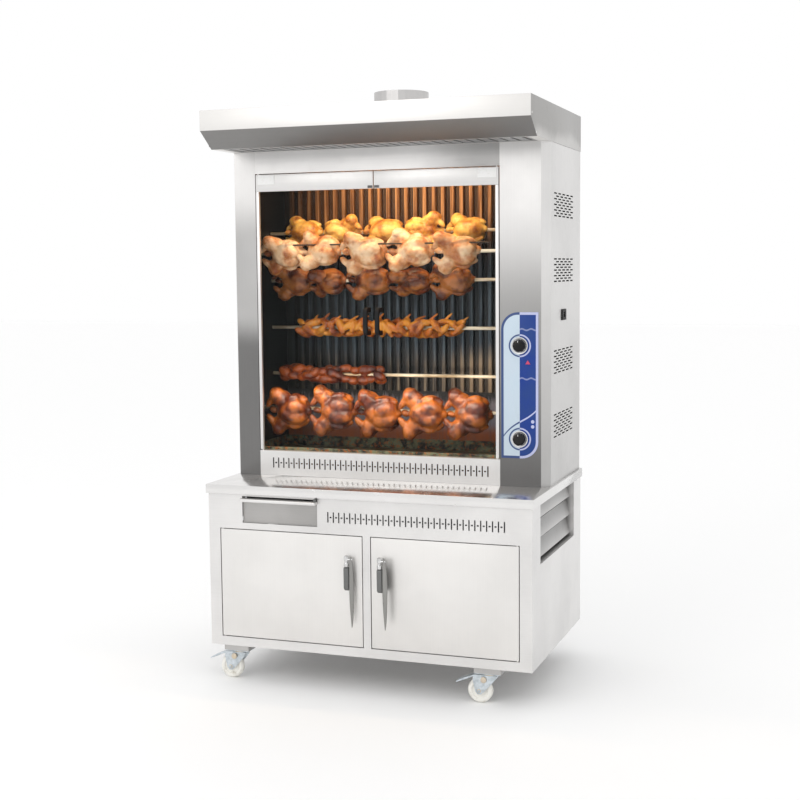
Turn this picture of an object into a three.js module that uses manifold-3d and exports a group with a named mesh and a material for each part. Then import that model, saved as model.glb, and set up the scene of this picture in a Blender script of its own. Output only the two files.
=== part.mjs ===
// A rotisserie oven: a glazed spit cabinet under a canopy hood, on a wheeled cupboard base.
// Millimetres. X runs to the right, Y from the front to the back, Z up. The pieces are drawn with
// X = 0 at the middle of the base, Y = 0 on the base's front face and Z = 0 on the floor, and the
// exported group puts the origin under the middle of the whole oven.
import * as THREE from "three";
import { mergeVertices } from "three/addons/utils/BufferGeometryUtils.js";
import Module from "manifold-3d";

const wasm = await Module();
wasm.setup();

// ---------------------------------------------------------------- sizes
// stock and fits
const sheet = 1.5; // folded stainless sheet
const seam = 0.3; // between pieces that touch
const reveal = 3; // round doors and the drawer
const runClear = 0.4; // round a turning shaft

// base
const baseWidth = 1200;
const baseDepth = 750;
const postWidth = 44;
const bottomRail = 33;
const stileWidth = 28;
const stileCentre = 8;
const doorOpeningHeight = 398;
const middleRail = 23; // between the door openings and the drawer's opening
const lipGap = 7; // drawer's opening to the lower edge of the worktop's lip
const frameReturn = 22; // depth of the folded edges of the front frame
const drawerOpening = { fromLeft: 134, width: 290, height: 96 };
const baseSlots = { start: 41, end: 96, pitch: 20.6, rise: 18, length: 37, width: 4.6 };
const slotDot = { width: 7.5, height: 5 }; // the short holes between two slots
const louvre = { front: 110, fromBack: 118, fromTop: 1, height: 208, recess: 24, blades: 3 };
const louvreTilt = 12; // how far a blade's lower edge stands in front of its upper edge
const bladeDrop = 58;

// worktop
const worktopLip = 32;
const worktopSide = 6; // overhang at each side
const worktopNose = 10; // overhang at the front

// drip drawer
const trayGap = { side: 10, below: 6, above: 17 }; // tray to the drawer's opening
const trayPast = 70.5; // how far the tray reaches behind the drip pan's spout
const frontSet = 4; // the drawer's face behind the frame's face
const pull = { reach: 32, height: 12, gap: 5 };

// base doors
const doorThick = 20;
const doorPivot = 6; // pivot from the door's face and from its edge
const pinRadius = 4;
const pinLength = 6.5;
const latch = { left: 66.5, right: 56.5, fromTop: 79, width: 19, pinOut: 26, pinRadius: 3 };
const lever = { thick: 12, width: 19, above: 11, length: 242 };

// casters
const wheelRadius = 44;
const wheelWidth = 30;
const axleRadius = 5;
const trail = 35; // swivel axis to axle
const wheelRoom = 9.7; // wheel to the fork's bridge
const casterPlate = { length: 92, width: 78, thick: 3 };
const raceHeight = 8;
const raceRadius = 25;
const forkSteel = 3;
const kingPin = 6;
const pedalReach = 120; // swivel axis to the tip of the brake pedal
const tyre = { lip: 10, dish: 16 }; // from the tread in to the lip and to the dish
const runner = { width: 96, height: 20, wall: 2.5 };
const casterInset = { left: 95, right: 160, front: 48, back: 60 }; // base's edges to the swivel axes

// spit cabinet
const cabinetInset = 5; // at each side of the base
const cabinetDepth = 499;
const cabinetHeight = 1194; // worktop to roof
const leftColumn = 84;
const leftReturn = 24; // how far the left column's inner edge goes back before it turns to the liner
const linerGap = 20; // outer wall to the cavity's left wall
const rightColumn = 175;
const chamfer = 28;
const coverLap = 6;
const ventPanelHeight = 93;
const ventSlots = { start: 54, end: 44, pitch: 20.8, rise: 29, length: 38, width: 4.6 };
const headerHeight = 78;
const doorRail = 62;
const sideVents = { rows: 9, columns: 5, length: 44, height: 5, pitchY: 64, pitchZ: 9.75 };
const sideVentFront = 75; // cabinet front to the first slot
const sideVentRises = [207, 433]; // worktop to the middle of each low group
const sideVentDrops = [439, 211]; // roof to the middle of each high group
const inletHole = { y: 219, above: 2, width: 50, height: 30 }; // above the middle of the groups
const rib = { pitch: 37, depth: 14, land: 0.35, slope: 0.15, rise: 292 };
const ribSet = 114; // back of the oven to the ribs' crests
const exhaust = { width: 600, front: 136, back: 36 }; // edges in front of the ribs' crests

// glass doors
const glassThick = 6;
const railThick = 12;
const railProud = 2; // rail in front of the cabinet's face
const glassPivot = 8; // pivot from the door's edge
const glassStile = 12;
const glassPin = 3;
const hingeBlock = { inset: 8, width: 67, height: 33, proud: 2 };
const handle = { rise: 577, height: 100, width: 16, reach: 45, bar: 12, post: 18, fromEdge: 22.5 };

// spits and drive: [distance in front of the ribs' crests, height above the worktop]
const spitAxes = [
  [116, 904],
  [246, 826],
  [116, 722],
  [116, 542],
  [116, 362],
  [246, 241],
];
const spitBar = 12; // across the flats
const journal = 7;
const journalOut = 17; // length of the left journal
const sprocketRadius = 40;
const sprocketThick = 8;
const sprocketOff = 18; // cavity wall to sprocket
const chainDepth = 7;
const chainWidth = 10;
const chainClear = 1.2;
const motorAxis = [166, 171];
const motorEndGap = 13.5; // motor to the side cover

// drip pan and gas train
const panRim = 105; // above the worktop
const panDepth = 41;
const panGap = 3; // in front of the pan and behind it
const spout = { set: 236, outer: 15, inner: 12, above: 6.7 }; // in front of the crests, above the tray
const burner = { radius: 14, behind: 64, left: 30, right: 20 }; // behind the crests, from the walls
const feedRadius = 5;
const lowerBurnerRise = 79;
const valve = { size: 38, front: 7, depth: 42 };
const gasInlet = { radius: 8, rise: 39 };

// controls, with heights above the worktop
const controlPlate = { left: 5, right: 9, bottom: 100, top: 611, thick: 1.8, corner: 60 };
const knobInset = 66; // plate's left edge to the knobs
const knobRises = [495, 168];
const knob = { skirt: 30, grip: 22, skirtThick: 3.4, depth: 20, shaft: 3.5 };
const lamp = { inset: 37, rise: 436, size: 9, proud: 2.6 }; // from the plate's right edge

// hood
const hoodOver = 2; // past each side of the cabinet
const hoodReach = 259; // in front of the cabinet
const hoodHeight = 129.4;
const fascia = 71;
const hoodSlope = 84; // how far back the slope runs
const filterOpening = { side: 37, front: 94, back: 6 };
const filter = { thick: 10, lap: 8, margin: 18, pitch: 40, width: 10 };
const collar = { radius: 100, height: 79.7, flange: 15, fromBack: 320 };

// ---------------------------------------------------------------- heights and places that follow
const forkTop = 2 * wheelRadius + wheelRoom + forkSteel;
const raceBottom = forkTop + seam;
const casterHeight = raceBottom + raceHeight + casterPlate.thick;
const runnerBottom = casterHeight + seam;
const baseBottom = runnerBottom + runner.height;
const casterLeft = -baseWidth / 2 + casterInset.left;
const casterRight = baseWidth / 2 - casterInset.right;
const doorSill = baseBottom + bottomRail;
const doorLintel = doorSill + doorOpeningHeight;
const drawerLow = doorLintel + middleRail;
const drawerX = -baseWidth / 2 + drawerOpening.fromLeft + drawerOpening.width / 2;
const baseHeight = bottomRail + doorOpeningHeight + middleRail + drawerOpening.height + lipGap;
const lipBottom = baseBottom + baseHeight;
const worktop = lipBottom + worktopLip;
const wallTop = worktop - sheet - seam;
const cabinetWidth = baseWidth - 2 * cabinetInset;
const hoodWidth = cabinetWidth + 2 * hoodOver;
const cabinetBottom = worktop + seam;
const cabinetTop = worktop + cabinetHeight;
const cabinetFront = baseDepth - cabinetDepth;
const cabinetBack = baseDepth - sheet - seam;
const cavityLeft = -cabinetWidth / 2 + leftColumn;
const liner = -cabinetWidth / 2 + linerGap;
const returnBack = cabinetFront + leftReturn;
const cavityRight = cabinetWidth / 2 - rightColumn;
const ribFront = baseDepth - ribSet;
const spitY = spitAxes.map(([set]) => ribFront - set);
const spitZ = spitAxes.map(([, rise]) => worktop + rise);
const motorY = ribFront - motorAxis[0];
const motorZ = worktop + motorAxis[1];
const panFront = returnBack + panGap;
const spoutY = ribFront - spout.set;
const burnerY = ribFront + burner.behind;
const plateLeft = cavityRight + controlPlate.left;
const plateRight = cabinetWidth / 2 - chamfer - controlPlate.right;
const knobX = plateLeft + knobInset;
const openings = [
  [-baseWidth / 2 + postWidth, stileCentre - stileWidth / 2],
  [stileCentre + stileWidth / 2, baseWidth / 2 - postWidth],
];
const ventTop = cabinetBottom + ventPanelHeight;
const glassBottom = ventTop + reveal;
const headerBottom = cabinetTop - headerHeight;
const railTop = headerBottom - reveal;
const railBottom = railTop - doorRail;
const glassY = cabinetFront - railProud + railThick / 2;
const hoodFront = cabinetFront - hoodReach;
const hoodBottom = cabinetTop + seam;
const hoodTop = hoodBottom + hoodHeight;
const slopeTop = hoodTop - fascia;
const middleX = (casterLeft - pedalReach + baseWidth / 2 + worktopSide) / 2;
const latchReach = latch.pinOut + lever.thick / 2;
const middleY = (baseDepth - latchReach) / 2;

// ---------------------------------------------------------------- making solids
function solid(geometry) {
  const bare = geometry.clone();
  bare.deleteAttribute("normal");
  bare.deleteAttribute("uv");
  const merged = mergeVertices(bare, 1e-4);
  const vertProperties = merged.attributes.position.array;
  const triVerts = new Uint32Array(merged.index.array);
  return new wasm.Manifold(new wasm.Mesh({ numProp: 3, vertProperties, triVerts }));
}

function join(...solids) {
  return solids.reduce((whole, one) => whole.add(one));
}

function cut(body, ...tools) {
  return tools.reduce((rest, tool) => rest.subtract(tool), body);
}

function box(x0, x1, y0, y1, z0, z1) {
  const geometry = new THREE.BoxGeometry(x1 - x0, y1 - y0, z1 - z0);
  return solid(geometry.translate((x0 + x1) / 2, (y0 + y1) / 2, (z0 + z1) / 2));
}

const along = {
  x: new THREE.Matrix4().makeBasis(
    new THREE.Vector3(0, 1, 0),
    new THREE.Vector3(0, 0, 1),
    new THREE.Vector3(1, 0, 0),
  ),
  y: new THREE.Matrix4().makeRotationX(Math.PI / 2),
  z: new THREE.Matrix4(),
};

// An outline pushed along an axis. Its points are [Y, Z], [X, Z] or [X, Y] for the axes x, y and z.
function prism(axis, outline, from, to) {
  const shape = new THREE.Shape(outline.map(([a, b]) => new THREE.Vector2(a, b)));
  const geometry = new THREE.ExtrudeGeometry(shape, { depth: to - from, bevelEnabled: false });
  geometry.applyMatrix4(along[axis]);
  const shift = { x: [from, 0, 0], y: [0, to, 0], z: [0, 0, from] }[axis];
  return solid(geometry.translate(...shift));
}

// A round bar along an axis, centred on the other two coordinates a and b.
function bar(axis, radius, from, to, a, b, sides = 16) {
  const step = (2 * Math.PI) / sides;
  const outline = Array.from({ length: sides }, (_, i) => [
    a + radius * Math.cos(i * step),
    b + radius * Math.sin(i * step),
  ]);
  return prism(axis, outline, from, to);
}

// A ring turned about the Z axis from a closed profile of [radius, height] points.
function ring(profile, sides) {
  const points = [...profile, profile[0]].map(([r, h]) => new THREE.Vector2(r, h));
  return solid(new THREE.LatheGeometry(points, sides).rotateX(Math.PI / 2));
}

function frame(x0, x1, y0, y1, z0, z1, wall) {
  const outer = box(x0 - wall, x1 + wall, y0, y1, z0 - wall, z1 + wall);
  return cut(outer, box(x0, x1, y0 - 1, y1 + 1, z0, z1));
}

// Upright slots in a front panel, in a row that runs from one edge towards another, with a short
// hole half way up between each two.
function slotRow(slots, left, right, base, y0, y1) {
  const first = left + slots.start;
  const count = Math.floor((right - slots.end - first) / slots.pitch) + 1;
  const z = base + slots.rise;
  const dotZ = z + slots.length / 2;
  return Array.from({ length: 2 * count - 1 }, (_, i) => {
    const x = first + (i * slots.pitch) / 2;
    if (i % 2 === 0) {
      return box(x - slots.width / 2, x + slots.width / 2, y0, y1, z, z + slots.length);
    }
    const halfWidth = slotDot.width / 2;
    const halfHeight = slotDot.height / 2;
    return box(x - halfWidth, x + halfWidth, y0, y1, dotZ - halfHeight, dotZ + halfHeight);
  });
}

function arc(cx, cz, radius, start, steps) {
  return Array.from({ length: steps + 1 }, (_, i) => {
    const angle = start + (i * Math.PI) / 2 / steps;
    return [cx + radius * Math.cos(angle), cz + radius * Math.sin(angle)];
  });
}

// ---------------------------------------------------------------- finishes
function finish(color, roughness, metalness, extra = {}) {
  return new THREE.MeshStandardMaterial({ color, roughness, metalness, ...extra });
}
const steel = finish(0xd9d6d2, 0.35, 0.9);
const darkSteel = finish(0x55585c, 0.5, 0.8);
const zinc = finish(0xb9bfc2, 0.4, 0.8);
const chrome = finish(0xc8cacc, 0.12, 1);
const spitSteel = finish(0xb9a98c, 0.4, 0.9);
const wheelPlastic = finish(0xe8e6df, 0.5, 0);
const blackPlastic = finish(0x141416, 0.4, 0);
const clearGlass = finish(0xdfe8e8, 0.05, 0, { transparent: true, opacity: 0.3 });
const enamel = finish(0x2f62ab, 0.35, 0.1);
const redLens = finish(0xd0201c, 0.2, 0);
const castMetal = finish(0x4a4d50, 0.6, 0.5);

const oven = new THREE.Group();
oven.position.set(-middleX, -middleY, 0);

function add(name, body, material, parent = oven, place = [0, 0, 0]) {
  const made = body.getMesh();
  const geometry = new THREE.BufferGeometry();
  geometry.setAttribute("position", new THREE.BufferAttribute(made.vertProperties, 3));
  geometry.setIndex(new THREE.BufferAttribute(made.triVerts, 1));
  const mesh = new THREE.Mesh(geometry, material);
  mesh.name = name;
  mesh.position.set(...place);
  parent.add(mesh);
}

// ---------------------------------------------------------------- base
const innerX = baseWidth / 2 - sheet - seam;
const innerY = baseDepth - sheet - seam;

function baseFloor() {
  const plate = box(-innerX, innerX, sheet + seam, innerY, baseBottom, baseBottom + sheet);
  const runners = [casterLeft, casterRight].map((x) => {
    const half = runner.width / 2;
    const outside = box(x - half, x + half, 8, baseDepth - 8, runnerBottom, baseBottom);
    const wall = runner.wall;
    const hollow = box(
      x - half + wall, x + half - wall, 8 + wall, baseDepth - 7, runnerBottom + wall, baseBottom - wall,
    );
    return cut(outside, hollow);
  });
  return join(plate, ...runners);
}

// The side of the base, with a recessed louvre: blades welded between two cheeks, over a sill.
function baseSide(hand) {
  const face = baseWidth / 2;
  const high = lipBottom - louvre.fromTop;
  const low = high - louvre.height;
  const back = baseDepth - louvre.fromBack;
  const inside = face - louvre.recess - louvreTilt;
  const panel = box(face - sheet, face, sheet + seam, baseDepth, baseBottom, wallTop);
  const window = box(face - 2 * sheet, face + 1, louvre.front, back, low, high);
  const cheeks = [louvre.front - sheet, back].map((y) =>
    box(inside, face - sheet / 2, y, y + sheet, low, high),
  );
  const sill = box(inside, face - sheet / 2, louvre.front - sheet, back + sheet, low - sheet, low);
  const pitch = louvre.height / louvre.blades;
  const blades = Array.from({ length: louvre.blades }, (_, i) => {
    const top = high - i * pitch;
    const x0 = face - louvre.recess - louvreTilt / 2;
    const x1 = x0 + louvreTilt;
    const outline = [[x0, top], [x0 + sheet, top], [x1 + sheet, top - bladeDrop], [x1, top - bladeDrop]];
    return prism("y", outline, louvre.front - sheet / 2, back + sheet / 2);
  });
  const right = join(cut(panel, window), ...cheeks, sill, ...blades);
  return hand > 0 ? right : right.mirror([1, 0, 0]);
}

function baseFront() {
  const half = baseWidth / 2;
  const top = doorLintel;
  const face = box(-half, half, 0, sheet, baseBottom, wallTop);
  const returns = openings.map(([x0, x1]) => frame(x0, x1, 0, frameReturn, doorSill, top, sheet));
  const holes = openings.map(([x0, x1]) => box(x0, x1, -1, sheet + 1, doorSill, top));
  const left = drawerX - drawerOpening.width / 2;
  const right = drawerX + drawerOpening.width / 2;
  holes.push(box(left, right, -1, sheet + 1, drawerLow, drawerLow + drawerOpening.height));
  const pins = [openings[0][0] + reveal + doorPivot, openings[1][1] - reveal - doorPivot].map((x) =>
    bar("z", pinRadius + runClear, doorSill - 5, top + 5, x, doorPivot),
  );
  const slots = slotRow(baseSlots, right, half, drawerLow, -1, sheet + 1);
  return cut(join(face, ...returns), ...holes, ...pins, ...slots);
}

function baseBack() {
  return box(-innerX, innerX, baseDepth - sheet, baseDepth, baseBottom, wallTop);
}

function worktopPanel() {
  const half = baseWidth / 2 + worktopSide;
  const outside = box(-half, half, -worktopNose, baseDepth, lipBottom, worktop);
  const nose = sheet - worktopNose;
  const hollow = box(-half + sheet, half - sheet, nose, baseDepth + 1, lipBottom - 1, worktop - sheet);
  const drain = bar("z", spout.outer + 4, worktop - 5, worktop + 5, drawerX, spoutY, 20);
  return cut(outside, hollow, drain);
}

const trayHalf = drawerOpening.width / 2 - trayGap.side;
const trayLow = drawerLow + trayGap.below;
const trayTop = drawerLow + drawerOpening.height - trayGap.above;
const trayBack = spoutY + trayPast;

// Two angle runners and the strap that joins them behind the drawer, hung under the worktop.
function drawerCradle() {
  const x = drawerX;
  const side = trayHalf + 2;
  const low = trayLow - seam - sheet;
  const front = frameReturn + 2;
  const back = trayBack + 8;
  const outside = box(x - side - sheet, x + side + sheet, front, back + sheet, low, wallTop);
  const hollow = box(x - side, x + side, front - 1, back, low + sheet, wallTop + 1);
  const between = box(x - side + 12, x + side - 12, front - 1, back - 12, low - 1, low + sheet + 1);
  return cut(outside, hollow, between);
}

function dripDrawer() {
  const x = drawerX;
  const face = frontSet + sheet;
  const half = trayHalf;
  const lipTop = drawerLow + drawerOpening.height - pull.gap;
  const lip = lipTop - pull.height;
  const tray = cut(
    box(x - half, x + half, frontSet, trayBack, trayLow, trayTop),
    box(x - half + sheet, x + half - sheet, face, trayBack - sheet, trayLow + sheet, trayTop + 1),
  );
  const plateHalf = drawerOpening.width / 2 - reveal;
  const plateLow = drawerLow + reveal;
  const plate = box(x - plateHalf, x + plateHalf, frontSet, face, plateLow, lipTop);
  const tip = frontSet - pull.reach;
  const mid = (lip + lipTop) / 2;
  const fold = [
    [face, lipTop], [tip + 6, lipTop], [tip, mid], [tip + 6, lip], [tip + 22, lip],
    [tip + 22, lip + sheet], [tip + 6.6, lip + sheet], [tip + 1.9, mid],
    [tip + 6.6, lipTop - sheet], [face, lipTop - sheet],
  ];
  return join(tray, plate, prism("x", fold, x - plateHalf, x + plateHalf));
}

// A door tray, drawn from its pivot axis at its lower edge. It reaches away from the pivot to +X for
// hand 1 and to -X for hand -1.
function baseDoor(width, hand) {
  const height = doorOpeningHeight - 2 * reveal;
  const near = -doorPivot;
  const far = width - doorPivot;
  const back = doorThick - doorPivot;
  const body = box(near, far, -doorPivot, back, 0, height);
  const pocket = box(near + sheet, far - sheet, sheet - doorPivot, back + 1, sheet, height - sheet);
  const pins = [
    bar("z", pinRadius, -pinLength, sheet, 0, 0),
    bar("z", pinRadius, height - sheet, height + pinLength, 0, 0),
  ];
  const left = join(cut(body, pocket), ...pins);
  return hand > 0 ? left : left.mirror([1, 0, 0]);
}

// The latch's body, drawn from its pin's height on the door's face: a rounded head over a collar
// and a long heel, with the pin standing out of the head's right side.
function latchBlock() {
  const half = latch.width / 2;
  const profile = [
    [-seam, -112], [-22, -112], [-29, -104], [-30, -32], [-22, -27], [-28, -24], [-28, -16],
    [-20, -13], [-20, -9], [-30, -6], [-31, 4], [-24, 13], [-seam, 13],
  ];
  const reach = half + 1 + lever.width * 0.7;
  const pin = bar("x", latch.pinRadius, 0, reach, -latch.pinOut, 0, 12);
  return join(prism("x", profile, -half, half), pin);
}

// The latch's lever, drawn from its pin: a leaf-shaped blade that hangs beside the body.
function latchLever() {
  const { width, above, length, thick } = lever;
  const blade = [
    [0.42, above], [0.16, -0.02 * length], [0.02, -0.16 * length], [0, -0.5 * length],
    [0.08, -0.76 * length], [0.3, -0.94 * length], [0.48, -length], [0.62, -0.96 * length],
    [0.84, -0.78 * length], [1, -0.5 * length], [0.94, -0.24 * length], [0.7, -0.02 * length],
    [0.52, above],
  ].map(([across, z]) => [across * width, z]);
  const eye = bar("x", latch.pinRadius + runClear, -1, width + 1, 0, 0, 12);
  return cut(prism("y", blade, -thick / 2, thick / 2), eye);
}

add("base_floor", baseFloor(), steel);
add("base_side_left", baseSide(-1), steel);
add("base_side_right", baseSide(1), steel);
add("base_back", baseBack(), steel);
add("base_front_frame", baseFront(), steel);
add("worktop", worktopPanel(), steel);
add("drawer_cradle", drawerCradle(), steel);
add("drip_drawer", dripDrawer(), steel);

["left", "right"].forEach((side, i) => {
  const hand = i === 0 ? 1 : -1;
  const [x0, x1] = openings[i];
  const pivotX = (hand > 0 ? x0 : x1) + hand * (reveal + doorPivot);
  const width = x1 - x0 - 2 * reveal;
  const pivot = [pivotX, doorPivot, doorSill + reveal];
  const pinZ = doorLintel - latch.fromTop;
  const latchX = stileCentre - hand * latch[side];
  const leverX = latchX + latch.width / 2 + 1;
  add("base_door_" + side, baseDoor(width, hand), steel, oven, pivot);
  add("latch_block_" + side, latchBlock(), chrome, oven, [latchX, 0, pinZ]);
  add("latch_lever_" + side, latchLever(), chrome, oven, [leverX, -latch.pinOut, pinZ]);
});

// ---------------------------------------------------------------- casters
function casterTop() {
  const { length, width, thick } = casterPlate;
  const plate = box(-length / 2, length / 2, -width / 2, width / 2, casterHeight - thick, casterHeight);
  const race = bar("z", raceRadius, raceBottom, casterHeight - thick + 0.5, 0, 0, 20);
  const socket = bar("z", kingPin + runClear, raceBottom - 1, casterHeight - thick, 0, 0, 12);
  return cut(join(plate, race), socket);
}

function casterFork() {
  const inside = wheelWidth / 2 + 2.5;
  const outside = inside + forkSteel;
  const axleZ = wheelRadius;
  const leg = [
    [-56, forkTop], [26, forkTop], [20, forkTop - 16], [2 - trail + 12, axleZ - 6],
    [-trail + 6, axleZ - 12], [-trail - 6, axleZ - 12], [-trail - 14, axleZ - 2], [-58, forkTop - 18],
  ];
  const legs = [-outside, inside].map((y) => prism("y", leg, y, y + forkSteel));
  const bridge = box(-46, 26, -outside, outside, forkTop - forkSteel, forkTop);
  const pin = bar("z", kingPin, forkTop - 1, casterHeight - casterPlate.thick - 1.5, 0, 0, 12);
  const axle = bar("y", axleRadius, -outside - 4, outside + 4, -trail, axleZ, 12);
  const pivot = bar("y", 2.5, -outside - 1, outside + 1, -52, forkTop - 8, 8);
  return join(...legs, bridge, pin, axle, pivot);
}

function casterWheel() {
  const half = wheelWidth / 2;
  const bore = axleRadius + runClear;
  const lip = wheelRadius - tyre.lip;
  const dish = wheelRadius - tyre.dish;
  const profile = [
    [bore, -half], [14, -half], [dish, -half + 3], [lip, -half], [wheelRadius, -half + 7],
    [wheelRadius, half - 7], [lip, half], [dish, half - 3], [14, half], [bore, half],
  ];
  return ring(profile, 20).rotate([90, 0, 0]);
}

// The brake pedal, drawn from its own pivot. The outline is set out from the swivel axis, and down
// from the fork's top.
function brakePedal() {
  const outline = [
    [-47, 4.7], [-60, 3.7], [-90, 15.7], [-pedalReach + 2, 29.7], [-pedalReach, 34.7], [-88, 21.7],
    [-60, 9.7], [-56, 13.2], [-50, 13.2], [-47, 10.7],
  ].map(([x, down]) => [x + 52, 8 - down]);
  const half = wheelWidth / 2 + 1.5;
  const hole = bar("y", 2.5 + runClear, -half - 1, half + 1, 0, 0, 8);
  return cut(prism("y", outline, -half, half), hole);
}

const casterPlaces = {
  front_left: [casterLeft, casterInset.front],
  front_right: [casterRight, casterInset.front],
  rear_left: [casterLeft, baseDepth - casterInset.back],
  rear_right: [casterRight, baseDepth - casterInset.back],
};
for (const [place, [x, y]] of Object.entries(casterPlaces)) {
  const caster = new THREE.Group();
  caster.position.set(x, y, 0);
  oven.add(caster);
  add("caster_plate_" + place, casterTop(), zinc, caster);
  add("caster_fork_" + place, casterFork(), zinc, caster);
  add("caster_wheel_" + place, casterWheel(), wheelPlastic, caster, [-trail, 0, wheelRadius]);
  if (place.startsWith("front")) {
    add("brake_pedal_" + place, brakePedal(), zinc, caster, [-52, 0, forkTop - 8]);
  }
}

// ---------------------------------------------------------------- cabinet
const wallLow = cabinetBottom;
const wallHigh = cabinetTop - seam;
const spitHoles = (x) =>
  spitY.map((y, i) => bar("x", journal + runClear, x - 5, x + 5, y, spitZ[i], 12));

function leftColumnShell() {
  const out = -cabinetWidth / 2;
  const inn = cavityLeft;
  const front = cabinetFront;
  const outline = [
    [out, cabinetBack], [out, front], [inn, front], [inn, returnBack], [liner, returnBack],
    [liner, cabinetBack], [liner - sheet, cabinetBack], [liner - sheet, returnBack - sheet],
    [inn - sheet, returnBack - sheet], [inn - sheet, front + sheet], [out + sheet, front + sheet],
    [out + sheet, cabinetBack],
  ];
  return cut(prism("z", outline, wallLow, cabinetTop), ...spitHoles(liner));
}

function rightColumnShell() {
  const out = cabinetWidth / 2;
  const inn = cavityRight;
  const front = cabinetFront;
  const bend = sheet * Math.tan(Math.PI / 8);
  const lapEnd = front + chamfer + coverLap;
  const outline = [
    [inn, cabinetBack], [inn, front], [out - chamfer, front], [out, front + chamfer], [out, lapEnd],
    [out - sheet, lapEnd], [out - sheet, front + chamfer + bend], [out - chamfer - bend, front + sheet],
    [inn + sheet, front + sheet], [inn + sheet, cabinetBack],
  ];
  const shafts = knobRises.map((rise) =>
    bar("y", knob.shaft + runClear, front - 1, front + 5, knobX, worktop + rise, 12),
  );
  const feeds = [worktop + knobRises[0], worktop + lowerBurnerRise].map((z) =>
    bar("x", feedRadius + 3, inn - 5, inn + 5, burnerY, z, 12),
  );
  return cut(prism("z", outline, wallLow, cabinetTop), ...spitHoles(inn), ...shafts, ...feeds);
}

const ventRises = [...sideVentRises, ...sideVentDrops.map((drop) => cabinetHeight - drop)];
const inletZ = worktop + (ventRises[1] + ventRises[2]) / 2 + inletHole.above;

function sideCover() {
  const out = cabinetWidth / 2;
  const front = cabinetFront + chamfer + coverLap + seam;
  const panel = box(out - sheet, out, front, cabinetBack, wallLow, wallHigh);
  const holes = [];
  for (const rise of ventRises) {
    for (let row = 0; row < sideVents.rows; row++) {
      const short = row % 2;
      const z = worktop + rise + (row - (sideVents.rows - 1) / 2) * sideVents.pitchZ;
      for (let k = 0; k < sideVents.columns - short; k++) {
        const y = cabinetFront + sideVentFront + (k + short / 2) * sideVents.pitchY;
        const half = sideVents.height / 2;
        holes.push(box(out - 2 * sheet, out + 1, y, y + sideVents.length, z - half, z + half));
      }
    }
  }
  const y = cabinetFront + inletHole.y;
  const z = inletZ;
  const halfY = inletHole.width / 2;
  const halfZ = inletHole.height / 2;
  holes.push(box(out - 2 * sheet, out + 1, y - halfY, y + halfY, z - halfZ, z + halfZ));
  return cut(panel, ...holes);
}

function rearCover() {
  const half = cabinetWidth / 2;
  const panel = box(-half, half, baseDepth - sheet, baseDepth, wallLow, wallHigh);
  const holes = [];
  for (const z of [wallLow + 60, wallHigh - 60]) {
    for (let i = -4; i < 4; i++) {
      const x = (i + 0.5) * 110 - 45;
      holes.push(box(x - 35, x + 35, baseDepth - 5, baseDepth + 1, z - 4, z + 4));
    }
  }
  const inlet = [knobX, worktop + gasInlet.rise];
  const bore = bar("y", gasInlet.radius + 2, baseDepth - 5, baseDepth + 1, ...inlet, 12);
  return cut(panel, ...holes, bore);
}

const panelLeft = cavityLeft + seam;
const wideLeft = liner + seam;
const wideFront = returnBack + seam;
const panelRight = cavityRight - seam;
const pivots = [cavityLeft + reveal + glassPivot, cavityRight - reveal - glassPivot];
const pivotHoles = (z) =>
  pivots.map((x) => bar("z", glassPin + runClear, z - 5, z + 5, x, glassY, 12));

function ventPanel() {
  const front = cabinetFront;
  const face = box(panelLeft, panelRight, front, front + sheet, wallLow, ventTop);
  const shelf = box(panelLeft, panelRight, front, front + 24, ventTop - sheet, ventTop);
  const slots = slotRow(ventSlots, cavityLeft, cavityRight, worktop, front - 1, front + sheet + 1);
  return cut(join(face, shelf), ...slots, ...pivotHoles(ventTop));
}

// The roof of the cavity, folded down at the front into the header over the glass doors.
function topPanel() {
  const front = cabinetFront;
  const under = cabinetTop - sheet;
  const roof = box(wideLeft, panelRight, wideFront, cabinetBack, under, cabinetTop);
  const ledge = box(panelLeft, panelRight, front, wideFront + 1, under, cabinetTop);
  const face = box(panelLeft, panelRight, front, front + sheet, headerBottom, cabinetTop);
  const fold = box(panelLeft, panelRight, front, front + 30, headerBottom, headerBottom + sheet);
  const middle = (panelLeft + panelRight) / 2;
  const half = exhaust.width / 2;
  const z = cabinetTop;
  const slot = box(
    middle - half, middle + half, ribFront - exhaust.front, ribFront - exhaust.back, z - 5, z + 5,
  );
  return cut(join(roof, ledge, face, fold), slot, ...pivotHoles(headerBottom));
}

// A pressed plate of upright trapezium ribs, welded to a plain apron below.
function ribbedWall() {
  const count = Math.floor((panelRight - wideLeft) / rib.pitch);
  const margin = (panelRight - wideLeft - count * rib.pitch) / 2;
  const near = [];
  for (let i = 0; i < count; i++) {
    const x = wideLeft + margin + i * rib.pitch;
    const back = ribFront + rib.depth;
    near.push([x + (rib.land / 2) * rib.pitch, back]);
    near.push([x + (rib.land / 2 + rib.slope) * rib.pitch, ribFront]);
    near.push([x + (rib.land * 1.5 + rib.slope) * rib.pitch, ribFront]);
    near.push([x + (rib.land * 1.5 + rib.slope * 2) * rib.pitch, back]);
  }
  near.unshift([wideLeft, ribFront + rib.depth]);
  near.push([panelRight, ribFront + rib.depth]);
  const far = near.map(([x, y]) => [x, y + sheet]).reverse();
  const foot = worktop + rib.rise;
  const ribs = prism("z", [...near, ...far], foot, cabinetTop - sheet - seam);
  const plain = ribFront + rib.depth;
  return join(ribs, box(wideLeft, panelRight, plain, plain + sheet, wallLow, foot + 2));
}

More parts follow.
